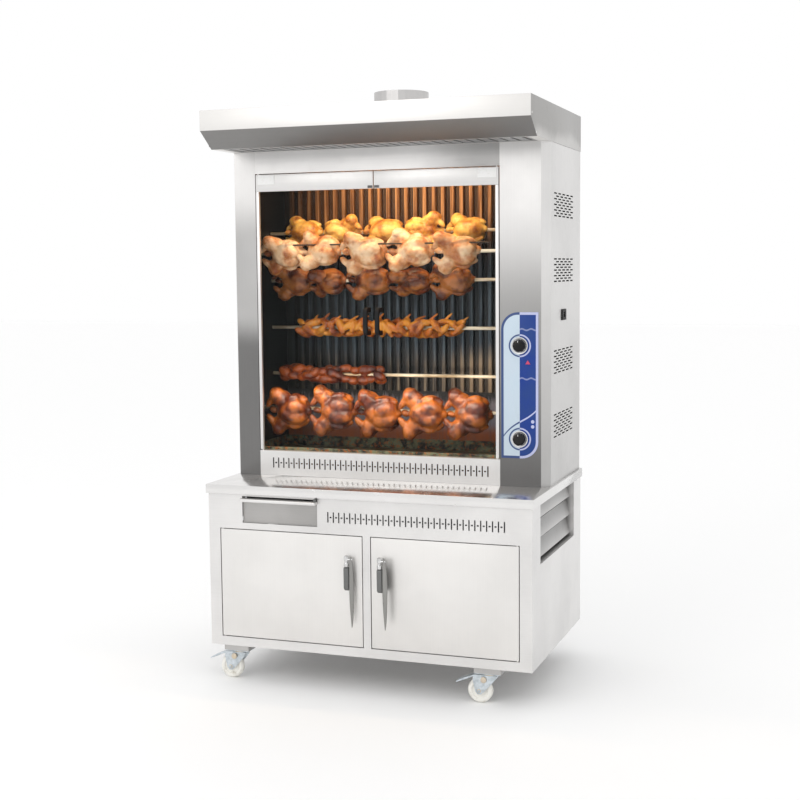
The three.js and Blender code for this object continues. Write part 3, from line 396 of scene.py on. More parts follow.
for side in ("left", "right"):
    low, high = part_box("latch_block_" + side)
    lever_low, lever_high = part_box("latch_lever_" + side)
    body = "base_door_" + side
    wide = 0.019
    x0, x1 = low.x, low.x + wide
    middle = (x0 + x1) / 2
    top = high.z
    # The heel, narrowing a little to its foot.
    heel = [(high.y, low.z), (high.y - 0.021, low.z), (high.y - 0.0285, low.z + 0.008),
            (high.y - 0.0297, top - 0.046), (high.y - 0.022, top - 0.0405), (high.y, top - 0.0405)]
    piece("latch_heel_" + side, pushed(heel, "x", x0, x1, 0.003, 3), body, heel_grey.material)
    # The head and collar, turned about the pin's upright.
    radius = wide / 2
    neck = [(0, -0.0405), (radius * 0.9, -0.0405), (radius * 1.0, -0.037), (radius * 1.0, -0.0295),
            (radius * 0.88, -0.027), (radius * 0.74, -0.026), (radius * 0.74, -0.0205),
            (radius * 0.92, -0.019), (radius * 1.0, -0.0155), (radius * 1.0, -0.008),
            (radius * 0.86, -0.003), (radius * 0.5, -0.0004), (0, 0)]
    head = turned(neck, "z", (middle, high.y - 0.0205, top))
    brick((x0 + 0.003, high.y - 0.02, top - 0.04), (x1 - 0.003, high.y, top - 0.004), 0.002, 2, head)
    axis_z = top - 0.013
    axis_y = (lever_low.y + lever_high.y) / 2
    stub = [(0, -0.004), (0.003, -0.004), (0.003, high.x - middle - 0.0008), (0.0022, high.x - middle),
            (0, high.x - middle)]
    turned(stub, "x", (middle, axis_y, axis_z), 24, head)
    piece("latch_head_" + side, head, body, chrome.material, ["latch_block_" + side])
    # The lever, drawn as rings down its length: leaf-shaped across, and crowned along a spine.
    blade = bmesh.new()
    length = lever_high.z - lever_low.z
    span = lever_high.x - lever_low.x
    thick = lever_high.y - lever_low.y
    stations = [(0.0, 0.45, 0.06), (0.02, 0.40, 0.16), (0.06, 0.40, 0.28), (0.14, 0.43, 0.40),
                (0.28, 0.47, 0.47), (0.45, 0.50, 0.49), (0.60, 0.51, 0.46), (0.74, 0.52, 0.38),
                (0.86, 0.53, 0.27), (0.94, 0.52, 0.17), (0.985, 0.49, 0.09), (1.0, 0.48, 0.03)]
    rings = []
    for share, centre, half in stations:
        ring = []
        for step in range(16):
            angle = math.tau * step / 16
            deep = thick * min(0.5, half * 1.25 + 0.05)
            x = lever_low.x + span * (centre + half * math.cos(angle))
            y = axis_y - deep * math.sin(angle) * (1 - 0.25 * abs(math.cos(angle)))
            ring.append(blade.verts.new((x, y, lever_high.z - share * length)))
        rings.append(ring)
    for upper, lower in zip(rings, rings[1:]):
        for step in range(16):
            after = (step + 1) % 16
            blade.faces.new((upper[step], upper[after], lower[after], lower[step]))
    blade.faces.new(rings[0])
    blade.faces.new(rings[-1])
    lever = "latch_lever_" + side
    piece(lever + "_blade", blade, lever, shaded_blade_chrome.material, [lever], 60)

# The drip drawer: a folded tray whose pull is rolled over at the top of its face.
# Painted shade: the tray's stainless is a darker copy, standing for the dimmer reflection in its tilted face.
shaded_tray_steel = stainless("shaded_tray_stainless", (0.46, 0.45, 0.44), rough=0.38, smear=0.16)
piece("drip_tray", eased("drip_drawer", 0.0006), "drip_drawer", shaded_tray_steel, ["drip_drawer"])
low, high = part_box("drip_drawer")
trim = brick((low.x - 0.0027, low.y + 0.0324, high.z - 0.0905),
             (high.x + 0.0027, low.y + 0.0332, high.z - 0.006))
piece("drawer_face_trim", trim, "drip_drawer", shaded_tray_steel)
lip = brick((low.x - 0.0005, low.y - 0.0006, high.z - 0.0118),
            (high.x + 0.006, low.y + 0.026, high.z - 0.0006), 0.0035, 3)
piece("drawer_lip", lip, "drip_drawer", bright_steel)
# Painted shadow: a dark tab at the lip's right end stands for the lip's side shadow.
lip_shadow_tab = brick((high.x - 0.0035, low.y + 0.010, high.z),
            (high.x + 0.0035, low.y + 0.024, high.z + 0.0105), 0.001)
piece("drawer_lip_shadow_tab", lip_shadow_tab, "drip_drawer", heel_grey.material)

# The casters: zinc-plated pressings with a bolt through each wheel and a yellow-passivated race.
zinc = Finish("zinc_plate", (0.60, 0.66, 0.70), Metallic=0.85)
bloom = zinc.noise(60.0, 4.0)
spangle = zinc.noise(240.0, 2.0)
zinc.feed(Base_Color=zinc.mix(bloom.ramp(0.35, 0.7), (0.66, 0.71, 0.75), (0.47, 0.52, 0.55)))
zinc.feed(Roughness=0.28 + spangle * 0.22)
zinc.bump(spangle, 0.12, 0.0003)
yellow_zinc = Finish("yellow_passivate", (0.66, 0.55, 0.33), Metallic=0.85)
tint = yellow_zinc.noise(70.0, 3.0)
yellow_zinc.feed(Base_Color=yellow_zinc.mix(tint, (0.72, 0.62, 0.40), (0.60, 0.52, 0.50)))
yellow_zinc.feed(Roughness=0.3 + tint * 0.15)
yellow_zinc.bump(tint, 0.1, 0.0003)
nylon = Finish("cream_nylon", (0.85, 0.83, 0.77))
grime = nylon.noise(45.0, 4.0)
nylon.feed(Base_Color=nylon.mix(grime.ramp(0.48, 0.78), (0.86, 0.845, 0.79), (0.58, 0.55, 0.48)))
nylon.feed(Roughness=0.42 + grime * 0.2)
nylon.bump(nylon.noise(220.0, 3.0), 0.12, 0.0006)
for place in ("front_left", "front_right", "rear_left", "rear_right"):
    plate, fork, wheel = ("caster_" + part + place for part in ("plate_", "fork_", "wheel_"))
    piece(plate + "_pressing", eased(plate, 0.0008), "cabinet", zinc.material, [plate])
    piece(fork + "_pressing", eased(fork, 0.0009), fork, zinc.material, [fork])
    low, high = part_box(wheel)
    centre = (low + high) / 2
    radius = (high.z - low.z) / 2
    half = (high.y - low.y) / 2
    profile = [(0.0056, -half), (0.013, -half), (0.0145, -half + 0.0015), (0.0155, -half + 0.0045),
               (0.026, -half + 0.0045), (0.0285, -half + 0.0015), (0.0315, -half + 0.0005),
               (0.0385, -half + 0.0018), (radius - 0.0016, -half + 0.0062), (radius, -half + 0.010),
               (radius, half - 0.010), (radius - 0.0016, half - 0.0062), (0.0385, half - 0.0018),
               (0.0315, half - 0.0005), (0.0285, half - 0.0015), (0.026, half - 0.0045),
               (0.0155, half - 0.0045), (0.0145, half - 0.0015), (0.013, half), (0.0056, half),
               (0.0056, -half)]
    tyre = turned(profile, "y", centre, 64)
    piece(wheel + "_tyre", tyre, wheel, nylon.material, [wheel], 28)
    # The race's domed ring, and the hexagon heads on the axle.
    plate_low, plate_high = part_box(plate)
    pivot = (plate_low + plate_high) / 2
    race_foot = plate_low.z
    ring = [(0.0075, race_foot + 0.0002), (0.0245, race_foot + 0.0002), (0.0262, race_foot + 0.0022),
            (0.0262, race_foot + 0.0052), (0.0250, race_foot + 0.0070), (0.0250, race_foot + 0.0079)]
    ring += [(0.0075, race_foot + 0.0079), ring[0]]
    race = turned(ring, "z", (pivot.x, pivot.y, 0), 40)
    piece(plate + "_race", race, "cabinet", yellow_zinc.material)
    bolts = None
    for way in (-1, 1):
        face = centre.y + way * (half + 0.0065)
        sides = [(0.0078 * math.cos(math.tau * k / 6), 0.0078 * math.sin(math.tau * k / 6)) for k in range(6)]
        hexagon = [(centre.z + a, centre.x + b) for a, b in sides]
        under = face - way * 0.006
        bolts = pushed(hexagon, "y", min(face, under), max(face, under), 0.0007, 2, bolts)
    piece(fork + "_bolts", bolts, fork, yellow_zinc.material)
    if place.startswith("front"):
        pedal = "brake_pedal_" + place
        piece(pedal + "_pressing", eased(pedal, 0.0012, 3), pedal, zinc.material, [pedal])
        fork_low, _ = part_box(fork)
        # The round head on the brake pedal's pivot, beside the fork.
        head = [(0, -0.0005), (0.0105, -0.0005), (0.0105, 0.0016), (0.0085, 0.0030), (0.0050, 0.0034),
                (0, 0.0034)]
        head = [(radius, -rise) for radius, rise in head]
        spot = (pivot.x - 0.018, fork_low.y, race_foot - 0.016)
        piece(pedal + "_pivot_head", turned(head, "y", spot, 32), fork, yellow_zinc.material)

# The cavity: a ribbed wall, blue-grey where it is cool, browned by heat at the top under a painted orange
# light, painted dark in its grooves and at its sides as shade, with painted highlights on its rib crests,
# over a plain apron and a pan wet with fat.
low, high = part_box("ribbed_back_wall")
heat = Finish("heat_stained_steel_with_painted_light", (0.10, 0.11, 0.12), Metallic=0.4)
x, y, z = heat.axes()
drift = heat.noise((6.0, 6.0, 2.0), 4.0)
streak = heat.noise((160.0, 160.0, 5.0), 4.0)
up = z + (drift - 0.5) * 0.14
cool = heat.mix(streak.ramp(0.35, 0.7), (0.022, 0.034, 0.046), (0.085, 0.115, 0.142))
tan = heat.mix(x.ramp(0.05, 0.30), (0.045, 0.040, 0.038), (0.42, 0.30, 0.19))
tan = heat.mix(streak.ramp(0.35, 0.7) * 0.5, tan, (0.10, 0.070, 0.045))
# The top of the wall: heat browning under a painted orange light.
heat_brown_and_warm_light = heat.mix(streak.ramp(0.3, 0.7), (0.16, 0.060, 0.018), (0.50, 0.24, 0.09))
wall = heat.mix(up.ramp(1.10, 1.20), tan, cool)
wall = heat.mix(up.ramp(1.50, 1.70), wall, heat_brown_and_warm_light)
# Painted shade: the grooves between the ribs darken almost to black.
deep = y.ramp(low.y + 0.002, low.y + 0.013)
# Painted highlight: the rib crests take a lighter colour, tan low down, blue-grey in the middle and orange at
# the top.
crest_highlight_mask = y.ramp(low.y + 0.0003, low.y + 0.0045, 1.0, 0.0) * streak.ramp(0.45, 0.7)
wall = heat.mix(deep * 0.80, wall, (0.004, 0.004, 0.004))
painted_crest_highlight = heat.mix(up.ramp(1.08, 1.18), (0.46, 0.37, 0.26), (0.13, 0.18, 0.22))
painted_crest_highlight = heat.mix(up.ramp(1.50, 1.70), painted_crest_highlight, (0.62, 0.34, 0.16))
wall = heat.mix(crest_highlight_mask * 0.6, wall, painted_crest_highlight)
# Painted shade: the wall darkens almost to black towards the cavity's sides.
edge = (x - (low.x + high.x) / 2).size().ramp(0.30, 0.50) * 0.90
wall = heat.mix(edge, wall, (0.006, 0.005, 0.005))
ribs_foot = low.z + 0.292
# Painted glow: the foot of the apron, by the pan, is painted orange-red as the food's reflected warm light.
apron = heat.mix(z.ramp(0.845, 0.90), (0.40, 0.10, 0.02), (0.30, 0.27, 0.31))
apron = heat.mix(streak.ramp(0.4, 0.75) * 0.5, apron, (0.12, 0.10, 0.10))
apron = heat.mix((z + (streak - 0.5) * 0.10).ramp(0.96, 1.0), apron, (0.02, 0.02, 0.022))
heat.feed(Base_Color=heat.mix(z.ramp(ribs_foot - 0.006, ribs_foot), apron, wall))
heat.feed(Roughness=0.34 + streak * 0.25)
heat.bump(streak, 0.25, 0.0008)
dress(heat.material, "ribbed_back_wall")
greasy = Finish("greasy_steel", (0.22, 0.19, 0.13), Metallic=0.35)
pool = greasy.noise(26.0, 5.0, 0.65)
spots = greasy.noise(95.0, 4.0)
fat = greasy.mix(pool.ramp(0.42, 0.60), (0.018, 0.016, 0.010), (0.21, 0.22, 0.12))
greasy.feed(Base_Color=greasy.mix(spots.ramp(0.52, 0.64) * 0.85, fat, (0.42, 0.12, 0.02)))
greasy.feed(Roughness=0.16 + spots * 0.4)
greasy.bump(spots + pool, 0.4, 0.003)
dress(greasy.material, "drip_pan")

# The burners, gas pipes, motor and chain are oiled cast and rolled steel.
cast = Finish("oiled_casting", (0.10, 0.10, 0.105), Metallic=0.6)
sand = cast.noise(320.0, 4.0)
oil = cast.noise(14.0, 3.0)
cast.feed(Base_Color=cast.mix(oil.ramp(0.4, 0.7), (0.13, 0.13, 0.135), (0.06, 0.05, 0.04)))
cast.feed(Roughness=0.35 + sand * 0.3)
cast.bump(sand, 0.35, 0.0006)
dress(cast.material, "gas_burner_train", "gear_motor", "drive_chain", "motor_sprocket")

# The glass doors: a clear pane under a stainless rail, with a white hinge block and a black grip.
glass = Finish("clear_pane", (0.20, 0.22, 0.22), Roughness=0.03)
smudge = glass.noise((7.0, 7.0, 3.0), 4.0)
glass.feed(Alpha=0.02 + smudge.ramp(0.5, 0.8) * 0.02)
glass.feed(Roughness=0.02 + smudge * 0.05)
dress(glass.material, "glass_door_pane_left", "glass_door_pane_right")
block_white = Finish("hinge_nylon", (0.86, 0.86, 0.85), Roughness=0.42)
mottle = block_white.noise(110.0, 3.0)
block_white.feed(Base_Color=block_white.mix(mottle.ramp(0.5, 0.8), (0.87, 0.87, 0.86), (0.80, 0.79, 0.77)))
block_white.bump(mottle, 0.15, 0.0005)
black = Finish("black_phenolic", (0.012, 0.012, 0.013), Specular_IOR_Level=0.25)
skin = black.noise(420.0, 3.0)
dust = black.noise(18.0, 4.0)
black.feed(Base_Color=black.mix(dust.ramp(0.45, 0.75), (0.006, 0.006, 0.007), (0.018, 0.017, 0.017)))
black.feed(Roughness=0.40 + skin * 0.2 + dust * 0.1)
black.bump(skin, 0.12, 0.0002)
for side, way in (("left", 1), ("right", -1)):
    door = "glass_door_" + side
    low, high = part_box("glass_door_rail_" + side)
    pane_low, pane_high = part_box("glass_door_pane_" + side)
    front = low.y + 0.002
    foot = pane_low.z
    rail_low, rail_high = pane_high.z + 0.0003, high.z - 0.006
    near = low.x if way > 0 else high.x
    far = high.x if way > 0 else low.x
    post = near + way * 0.012
    rail = brick((low.x, front, rail_low), (high.x, high.y, rail_high), 0.0012)
    brick((min(near, post), front, foot), (max(near, post), high.y, rail_low), 0.0010, 2, rail)
    pin = near + way * 0.008
    for start, end in ((low.z, foot + 0.001), (rail_high - 0.001, high.z)):
        shaft = [(0, start), (0.003, start), (0.003, end), (0, end)]
        turned(shaft, "z", (pin, front + 0.006, 0), 24, rail)
    piece(door + "_rail_sheet", rail, door, bright_steel, ["glass_door_rail_" + side])
    inner, outer = near + way * 0.008, near + way * 0.075
    block_low = (min(inner, outer), low.y, rail_high - 0.036)
    block_high = (max(inner, outer), front + 0.001, rail_high - 0.003)
    block = brick(block_low, block_high, 0.0009)
    piece(door + "_hinge_block", block, door, block_white.material)
    # A small magnet catch on the rail where the doors meet.
    catch = far - way * 0.020
    piece(door + "_catch", brick((min(catch, far - way * 0.002), low.y + 0.0004, rail_low + 0.002),
                                 (max(catch, far - way * 0.002), front + 0.001, rail_low + 0.011), 0.0006),
          door, cast.material)
    low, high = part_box("glass_door_handle_" + side)
    back, tip, inside = high.y, low.y, low.y + 0.012
    outline = [(back, high.z), (tip + 0.016, high.z), (tip + 0.006, high.z - 0.004), (tip, high.z - 0.014),
               (tip, low.z + 0.014), (tip + 0.006, low.z + 0.004), (tip + 0.016, low.z), (back, low.z),
               (back, low.z + 0.018), (inside + 0.006, low.z + 0.018), (inside, low.z + 0.024),
               (inside, high.z - 0.024), (inside + 0.006, high.z - 0.018), (back, high.z - 0.018)]
    piece(door + "_grip", pushed(outline, "x", low.x, high.x, 0.0028, 3), door, black.material,
          ["glass_door_handle_" + side])

# The spits: square bars worn straw-coloured by heat, with their corners drawn round.
bar_steel = Finish("heat_tinted_bar", (0.60, 0.51, 0.36), Metallic=0.75)
smoke = bar_steel.noise((9.0, 60.0, 60.0), 4.0)
scrape = bar_steel.noise((300.0, 30.0, 30.0), 3.0)
bar_steel.feed(Base_Color=bar_steel.mix(smoke.ramp(0.38, 0.66), (0.72, 0.63, 0.47), (0.34, 0.25, 0.15)))
bar_steel.feed(Roughness=0.26 + scrape * 0.24)
bar_steel.bump(scrape, 0.2, 0.0004)
for number in range(1, 7):
    node = "spit_%d" % number
    piece(node + "_bar", eased(node, 0.0012), node, bar_steel.material, [node])


# The birds. Skin is a finish that runs from a pale fat tone through its main colour to char, with
# darker creases.
def roasted(name, pale, main, char, burnt, wet):
    made = Finish(name, main, Subsurface_Weight=0.06, Subsurface_Scale=0.008)
    made.feed(Coat_Weight=0.22 * wet, Coat_Roughness=0.22)
    broad = made.noise(15.0, 3.0, 0.55)
    middle = made.noise(34.0, 4.0, 0.6)
    fine = made.noise(240.0, 4.0, 0.6)
    tone = made.mix(broad.ramp(0.38, 0.62), pale, main)
    tone = made.mix((middle * 0.7 + broad * 0.8).ramp(0.76 - burnt, 1.04 - burnt * 0.6) * 0.9, tone, char)
    made.feed(Base_Color=made.mix(fine.ramp(0.56, 0.85) * 0.30, tone, char))
    made.feed(Roughness=0.46 - 0.20 * wet + middle * 0.24)
    made.bump(fine * 0.35 + middle, 0.7, 0.0045)
    return made.material


# Soft lobes run together into one skinned form, then dimpled.
def fleshed(lobes, voxel, seed, dimple):
    shape = bmesh.new()
    for centre, radii, tilt in lobes:
        spin = Matrix.Rotation(tilt[0], 4, "X") @ Matrix.Rotation(tilt[1], 4, "Y")
        spin = spin @ Matrix.Rotation(tilt[2], 4, "Z")
        matrix = Matrix.Translation(centre) @ spin @ Matrix.Diagonal((*radii, 1))
        bmesh.ops.create_icosphere(shape, subdivisions=3, radius=1, matrix=matrix)
    mesh = bpy.data.meshes.new("lobes")
    shape.to_mesh(mesh)
    shape.free()
    item = bpy.data.objects.new("lobes", mesh)
    bpy.context.scene.collection.objects.link(item)
    remesh = item.modifiers.new("skin", "REMESH")
    remesh.mode = "VOXEL"
    remesh.voxel_size = voxel
    soften = item.modifiers.new("soften", "SMOOTH")
    soften.factor = 0.6
    soften.iterations = 5
    graph = bpy.context.evaluated_depsgraph_get()
    made = bpy.data.meshes.new_from_object(item.evaluated_get(graph))
    bpy.data.objects.remove(item)
    bpy.data.meshes.remove(mesh)
    normals = [vert.normal.copy() for vert in made.vertices]
    for vert, normal in zip(made.vertices, normals):
        spot = vert.co * 26 + Vector((seed * 7.3, 0, 0))
        fold = noise.noise(spot) + 0.5 * noise.noise(spot * 2.3)
        vert.co += normal * dimple * fold
    return made


# A trussed whole bird lying along the spit: a full breast, two drumsticks folded in beside it so
# that their round knees stand out at the tail end, and wings tucked flat.
def bird(seed):
    dice = random.Random(seed)

    def near(value, spread=0.05):
        return value * (1 + dice.uniform(-spread, spread))

    lobes = [
        ((0.012, 0, 0), (near(0.066), near(0.057), near(0.056)), (0, 0, 0)),
        ((-0.068, 0, 0), (0.018, 0.016, 0.012), (0, 0.3, 0)),
        ((0.074, 0, 0), (0.014, 0.019, 0.017), (0, 0, 0)),
    ]
    for way in (-1, 1):
        lean = near(1, 0.10)
        lobes += [
            ((0.028, -0.022, way * 0.017), (near(0.046), 0.040, near(0.034)), (0, 0, 0.1)),
            ((-0.030, -0.010, way * 0.044), (near(0.038), 0.034, 0.032), (0, way * 0.3, 0)),
            ((-0.044 * lean, -0.020, way * 0.062), (near(0.027), 0.028, 0.027), (0, 0, 0)),
            ((-0.068, -0.024, way * 0.036), (0.030, 0.012, 0.012), (0, -way * 0.9, 0)),
            ((0.044, -0.008, way * 0.047), (near(0.034), 0.016, 0.013), (0, way * 0.35, 0.1)),
            ((0.022, -0.030, way * 0.052), (near(0.028), 0.011, 0.011), (0, -way * 0.15, 0.2)),
        ]
    return fleshed(lobes, 0.0034, seed, 0.0032)


birds = [bird(seed) for seed in (3, 8, 15)]


def row(name, spit, material, places, templates):
    shape = bmesh.new()
    low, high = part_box(spit)
    axis = (low + high) / 2
    start = low.x + 0.017 + 0.005
    for (along, turn_x, flip, (long, wide), lift), template in zip(places, templates):
        mesh = template.copy()
        spin = Matrix.Rotation(turn_x, 4, "X") @ Matrix.Rotation(math.pi if flip else 0, 4, "Z")
        place = Matrix.Translation((start + along, axis.y, axis.z + lift))
        mesh.transform(place @ spin @ Matrix.Diagonal((long, wide, wide, 1)))
        shape.from_mesh(mesh)
        bpy.data.meshes.remove(mesh)
    return piece(name, shape, spit, material, (), 180)


golden = roasted("golden_skin", (0.88, 0.56, 0.14), (0.66, 0.28, 0.040), (0.22, 0.055, 0.010), 0.07, 0.9)
raw = roasted("pale_skin", (0.86, 0.60, 0.36), (0.66, 0.28, 0.085), (0.30, 0.070, 0.014), 0.08, 0.8)
dark = roasted("dark_skin", (0.46, 0.165, 0.035), (0.20, 0.038, 0.007), (0.036, 0.008, 0.003), 0.12, 0.9)
brown = roasted("brown_skin", (0.42, 0.115, 0.011), (0.15, 0.023, 0.004), (0.030, 0.005, 0.002), 0.12, 1.0)
orange = roasted("orange_skin", (0.82, 0.33, 0.035), (0.60, 0.150, 0.010), (0.18, 0.032, 0.006), 0.08, 0.8)
red = roasted("red_skin", (0.40, 0.085, 0.010), (0.15, 0.018, 0.004), (0.034, 0.005, 0.002), 0.11, 1.0)

wheel_of = [birds[k] for k in (0, 1, 2, 0, 1)]
row("birds_top", "spit_1", golden,
    [(0.128, 2.9, False, (0.96, 0.80), 0.003), (0.294, 3.4, True, (0.96, 0.80), 0.003),
     (0.456, 2.7, False, (0.98, 0.80), 0.003), (0.621, 3.2, True, (0.98, 0.80), 0.003),
     (0.783, 2.8, False, (0.96, 0.80), 0.003)], wheel_of)
row("birds_front", "spit_2", raw,
    [(0.104, 0.5, False, (1.0, 0.92), 0.002), (0.254, -0.4, False, (0.98, 0.90), 0.002),
     (0.432, 0.3, False, (1.06, 0.95), 0.002), (0.612, -0.3, False, (1.06, 0.95), 0.002),
     (0.788, 0.4, False, (1.04, 0.93), 0.002)], wheel_of[::-1])
row("birds_third", "spit_3", dark,
    [(0.086, 0.3, False, (0.98, 0.84), 0), (0.226, 0.9, False, (0.92, 0.82), 0),
     (0.400, 0.2, False, (1.04, 0.84), 0), (0.567, 1.0, False, (1.04, 0.84), 0),
     (0.732, 0.4, False, (1.0, 0.84), 0)], wheel_of)
row("birds_low", "spit_6", brown,
    [(0.120, 0.15, False, (1.04, 1.06), -0.008), (0.303, -0.1, False, (1.06, 1.10), -0.008),
     (0.482, 0.2, False, (1.04, 1.08), -0.008), (0.657, 0.0, False, (1.06, 1.10), -0.008),
     (0.832, -0.15, False, (1.04, 1.08), -0.008)], wheel_of[::-1])

# The thin skewer that pins the second spit's birds.
low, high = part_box("spit_2")
axis = (low + high) / 2
skewer = [(0, 0.075), (0.0030, 0.075), (0.0030, 0.915), (0, 0.925)]
skewer_steel = Finish("burnt_skewer", (0.030, 0.022, 0.018), Metallic=0.6)
soot_and_shade = skewer_steel.noise(150.0, 3.0)
skewer_steel.feed(Base_Color=skewer_steel.mix(soot_and_shade, (0.018, 0.013, 0.012), (0.10, 0.07, 0.05)))
skewer_steel.feed(Roughness=0.4 + soot_and_shade * 0.2)
skewer_steel.bump(soot_and_shade, 0.2, 0.0003)
rod = turned(skewer, "x", (low.x + 0.022, axis.y - 0.036, axis.z + 0.030), 16)
piece("birds_skewer", rod, "spit_2", skewer_steel.material)


# Smaller cuts threaded close together: wings with their tips out, and short glazed pieces.
def threaded(name, spit, material, first, last, count, radius, seed, wings):
    dice = random.Random(seed)
    low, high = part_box(spit)
    axis = (low + high) / 2
    start = low.x + 0.017 + 0.005
    step = (last - first) / count
    lobes = []
    for index in range(count):
        x = first + step * (index + 0.5)
        around = dice.uniform(0, math.tau)
        for turn_by in (0.0, 2.1, 4.2):
            a = around + turn_by + dice.uniform(-0.4, 0.4)
            reach = radius * dice.uniform(0.42, 0.62)
            size = radius * (dice.uniform(0.40, 0.54) if wings else dice.uniform(0.52, 0.72))
            lean = dice.choice((-1, 1)) * dice.uniform(0.5, 1.1) if wings else dice.uniform(-0.6, 0.6)
            spot = (x + dice.uniform(-0.3, 0.3) * step, math.cos(a) * reach, math.sin(a) * reach)
            lobes.append((spot, (size * (1.7 if wings else 1.0), size * 0.66, size * 0.66), (a, lean, 0)))
        if wings and index % 2:
            a = dice.uniform(0.5, 2.2)
            spot = (x + 0.01, math.cos(a) * radius * 0.92, math.sin(a) * radius * 0.92)
            tip = (radius * 0.66, radius * 0.13, radius * 0.12)
            lobes.append((spot, tip, (0, -dice.uniform(0.2, 0.9), 0)))
    mesh = fleshed(lobes, 0.0024, seed, 0.0014)
    mesh.transform(Matrix.Translation((start, axis.y, axis.z)))
    shape = bmesh.new()
    shape.from_mesh(mesh)
    bpy.data.meshes.remove(mesh)
    piece(name, shape, spit, material, (), 180)


threaded("wings", "spit_4", orange, 0.105, 0.765, 24, 0.042, 5, True)
threaded("glazed_pieces", "spit_5", red, 0.030, 0.452, 13, 0.042, 9, False)

# The control plate: a printed enamel plate, pale on its left half and blue on its right, with a
# contrasting border, a ring round each knob and a sweeping line above the lower one.
low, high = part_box("control_plate")
knobs = [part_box("control_knob_" + level) for level in ("upper", "lower")]
print_ = Finish("printed_enamel", (0.06, 0.13, 0.42), Specular_IOR_Level=0.25)
x, y, z = print_.axes()
u = x - low.x
v = z - low.z
width, height, corner = high.x - low.x, high.z - low.z, 0.060
right = x.over((low.x + high.x) / 2)
veil = print_.noise(9.0, 3.0)
pale = print_.mix(veil, (0.53, 0.65, 0.75), (0.58, 0.66, 0.74))
blue = print_.mix(veil.ramp(0.3, 0.7), (0.012, 0.045, 0.26), (0.020, 0.058, 0.22))
face = print_.mix(right, pale, blue)
ink = print_.mix(right, (0.050, 0.085, 0.22), (0.50, 0.53, 0.76))
inset = u.least(width - u).least(v).least(height - v)
for corner_u, corner_v, left_top in ((corner, height - corner, True), (width - corner, corner, False)):
    du, dv = u - corner_u, v - corner_v
    reach = corner - (du * du + dv * dv) ** 0.5
    zone = (0 - du).over(0) * dv.over(0) if left_top else du.over(0) * (0 - dv).over(0)
    inset = inset * (1 - zone) + reach * zone
marks = 1 - inset.ramp(0.0082, 0.0092)
for knob_low, knob_high in knobs:
    centre = (knob_low + knob_high) / 2
    centre_z = knob_low.z + (knob_high.x - knob_low.x) / 2
    du, dv = x - centre.x - 0.001, z - centre_z
    ring = ((du * du + dv * dv) ** 0.5 - 0.0372).size()
    marks = marks.most(1 - ring.ramp(0.0022, 0.0030))
bend = u - 0.074
sweep = v - (0.132 + 0.55 * bend + 65.0 * bend * bend * bend)
marks = marks.most(1 - sweep.size().ramp(0.0026, 0.0035))
for dot_v in (0.130, 0.1126):
    du, dv = u - 0.113, v - dot_v
    marks = marks.most(1 - ((du * du + dv * dv) ** 0.5).ramp(0.0056, 0.0066))
for wave_v in (0.451, 0.280):
    ripple = print_.maths("SINE", u * 190.0) * 0.0026
    wave = 1 - (v - wave_v - ripple).size().ramp(0.0012, 0.004)
    marks = marks.most(wave * right * 0.45)
print_.feed(Base_Color=print_.mix(marks, face, ink))
print_.feed(Roughness=0.30 + veil * 0.12)
print_.bump(marks, 0.12, 0.0002)
plate_face = eased("control_plate", 0.0005)
piece("control_face", plate_face, "cabinet", print_.material, ["control_plate"])

# The knobs: a black domed grip with finger flutes in a bright turned skirt.
silver = Finish("turned_skirt", (0.74, 0.74, 0.74), Metallic=0.9)
lathe_marks = silver.noise((14.0, 400.0, 14.0), 3.0)
silver.feed(Base_Color=silver.mix(lathe_marks, (0.80, 0.80, 0.80), (0.66, 0.66, 0.67)))
silver.feed(Roughness=0.22 + lathe_marks * 0.16)
silver.bump(lathe_marks, 0.1, 0.0003)
for level, (low, high) in zip(("upper", "lower"), knobs):
    node = "control_knob_" + level
    wide = (high.x - low.x) / 2
    centre = Vector(((low.x + high.x) / 2, 0, low.z + wide))
    back = high.y - 0.0095
    skirt = [(0.0035, high.y), (0.0035, back), (wide - 0.001, back), (wide, back - 0.0008),
             (wide, back - 0.0022), (wide - 0.0018, back - 0.0034), (0.0236, back - 0.0030),
             (0.0228, back - 0.0024), (0, back - 0.0024)]
    piece(node + "_skirt", turned([(0, high.y)] + skirt, "y", centre, 72), node, silver.material,
          [node])
    grip = bmesh.new()
    rings = []
    for depth, radius in ((-0.0026, 0.0222), (-0.008, 0.0218), (-0.015, 0.0205), (-0.0195, 0.0188),
                          (-0.0222, 0.0160), (-0.0235, 0.0120), (-0.0238, 0.006)):
        ring = []
        for step in range(72):
            angle = math.tau * step / 72
            flute = 1 - 0.035 * max(0.0, math.cos(angle * 9)) ** 2 * (radius > 0.015)
            spot = Vector((math.cos(angle) * radius * flute, back + depth, math.sin(angle) * radius * flute))
            ring.append(grip.verts.new(spot + Vector((centre.x, 0, centre.z))))
        rings.append(ring)
    for first, second in zip(rings, rings[1:]):
        for step in range(72):
            after = (step + 1) % 72
            grip.faces.new((first[step], first[after], second[after], second[step]))
    grip.faces.new(rings[0])
    grip.faces.new(rings[-1])
    piece(node + "_grip", grip, node, black.material, (), 40)
    pointer = brick((centre.x - 0.0010, back - 0.0246, centre.z + 0.012),
                    (centre.x + 0.0010, back - 0.0205, centre.z + 0.0185), 0.0004)
    piece(node + "_pointer", pointer, node, silver.material)

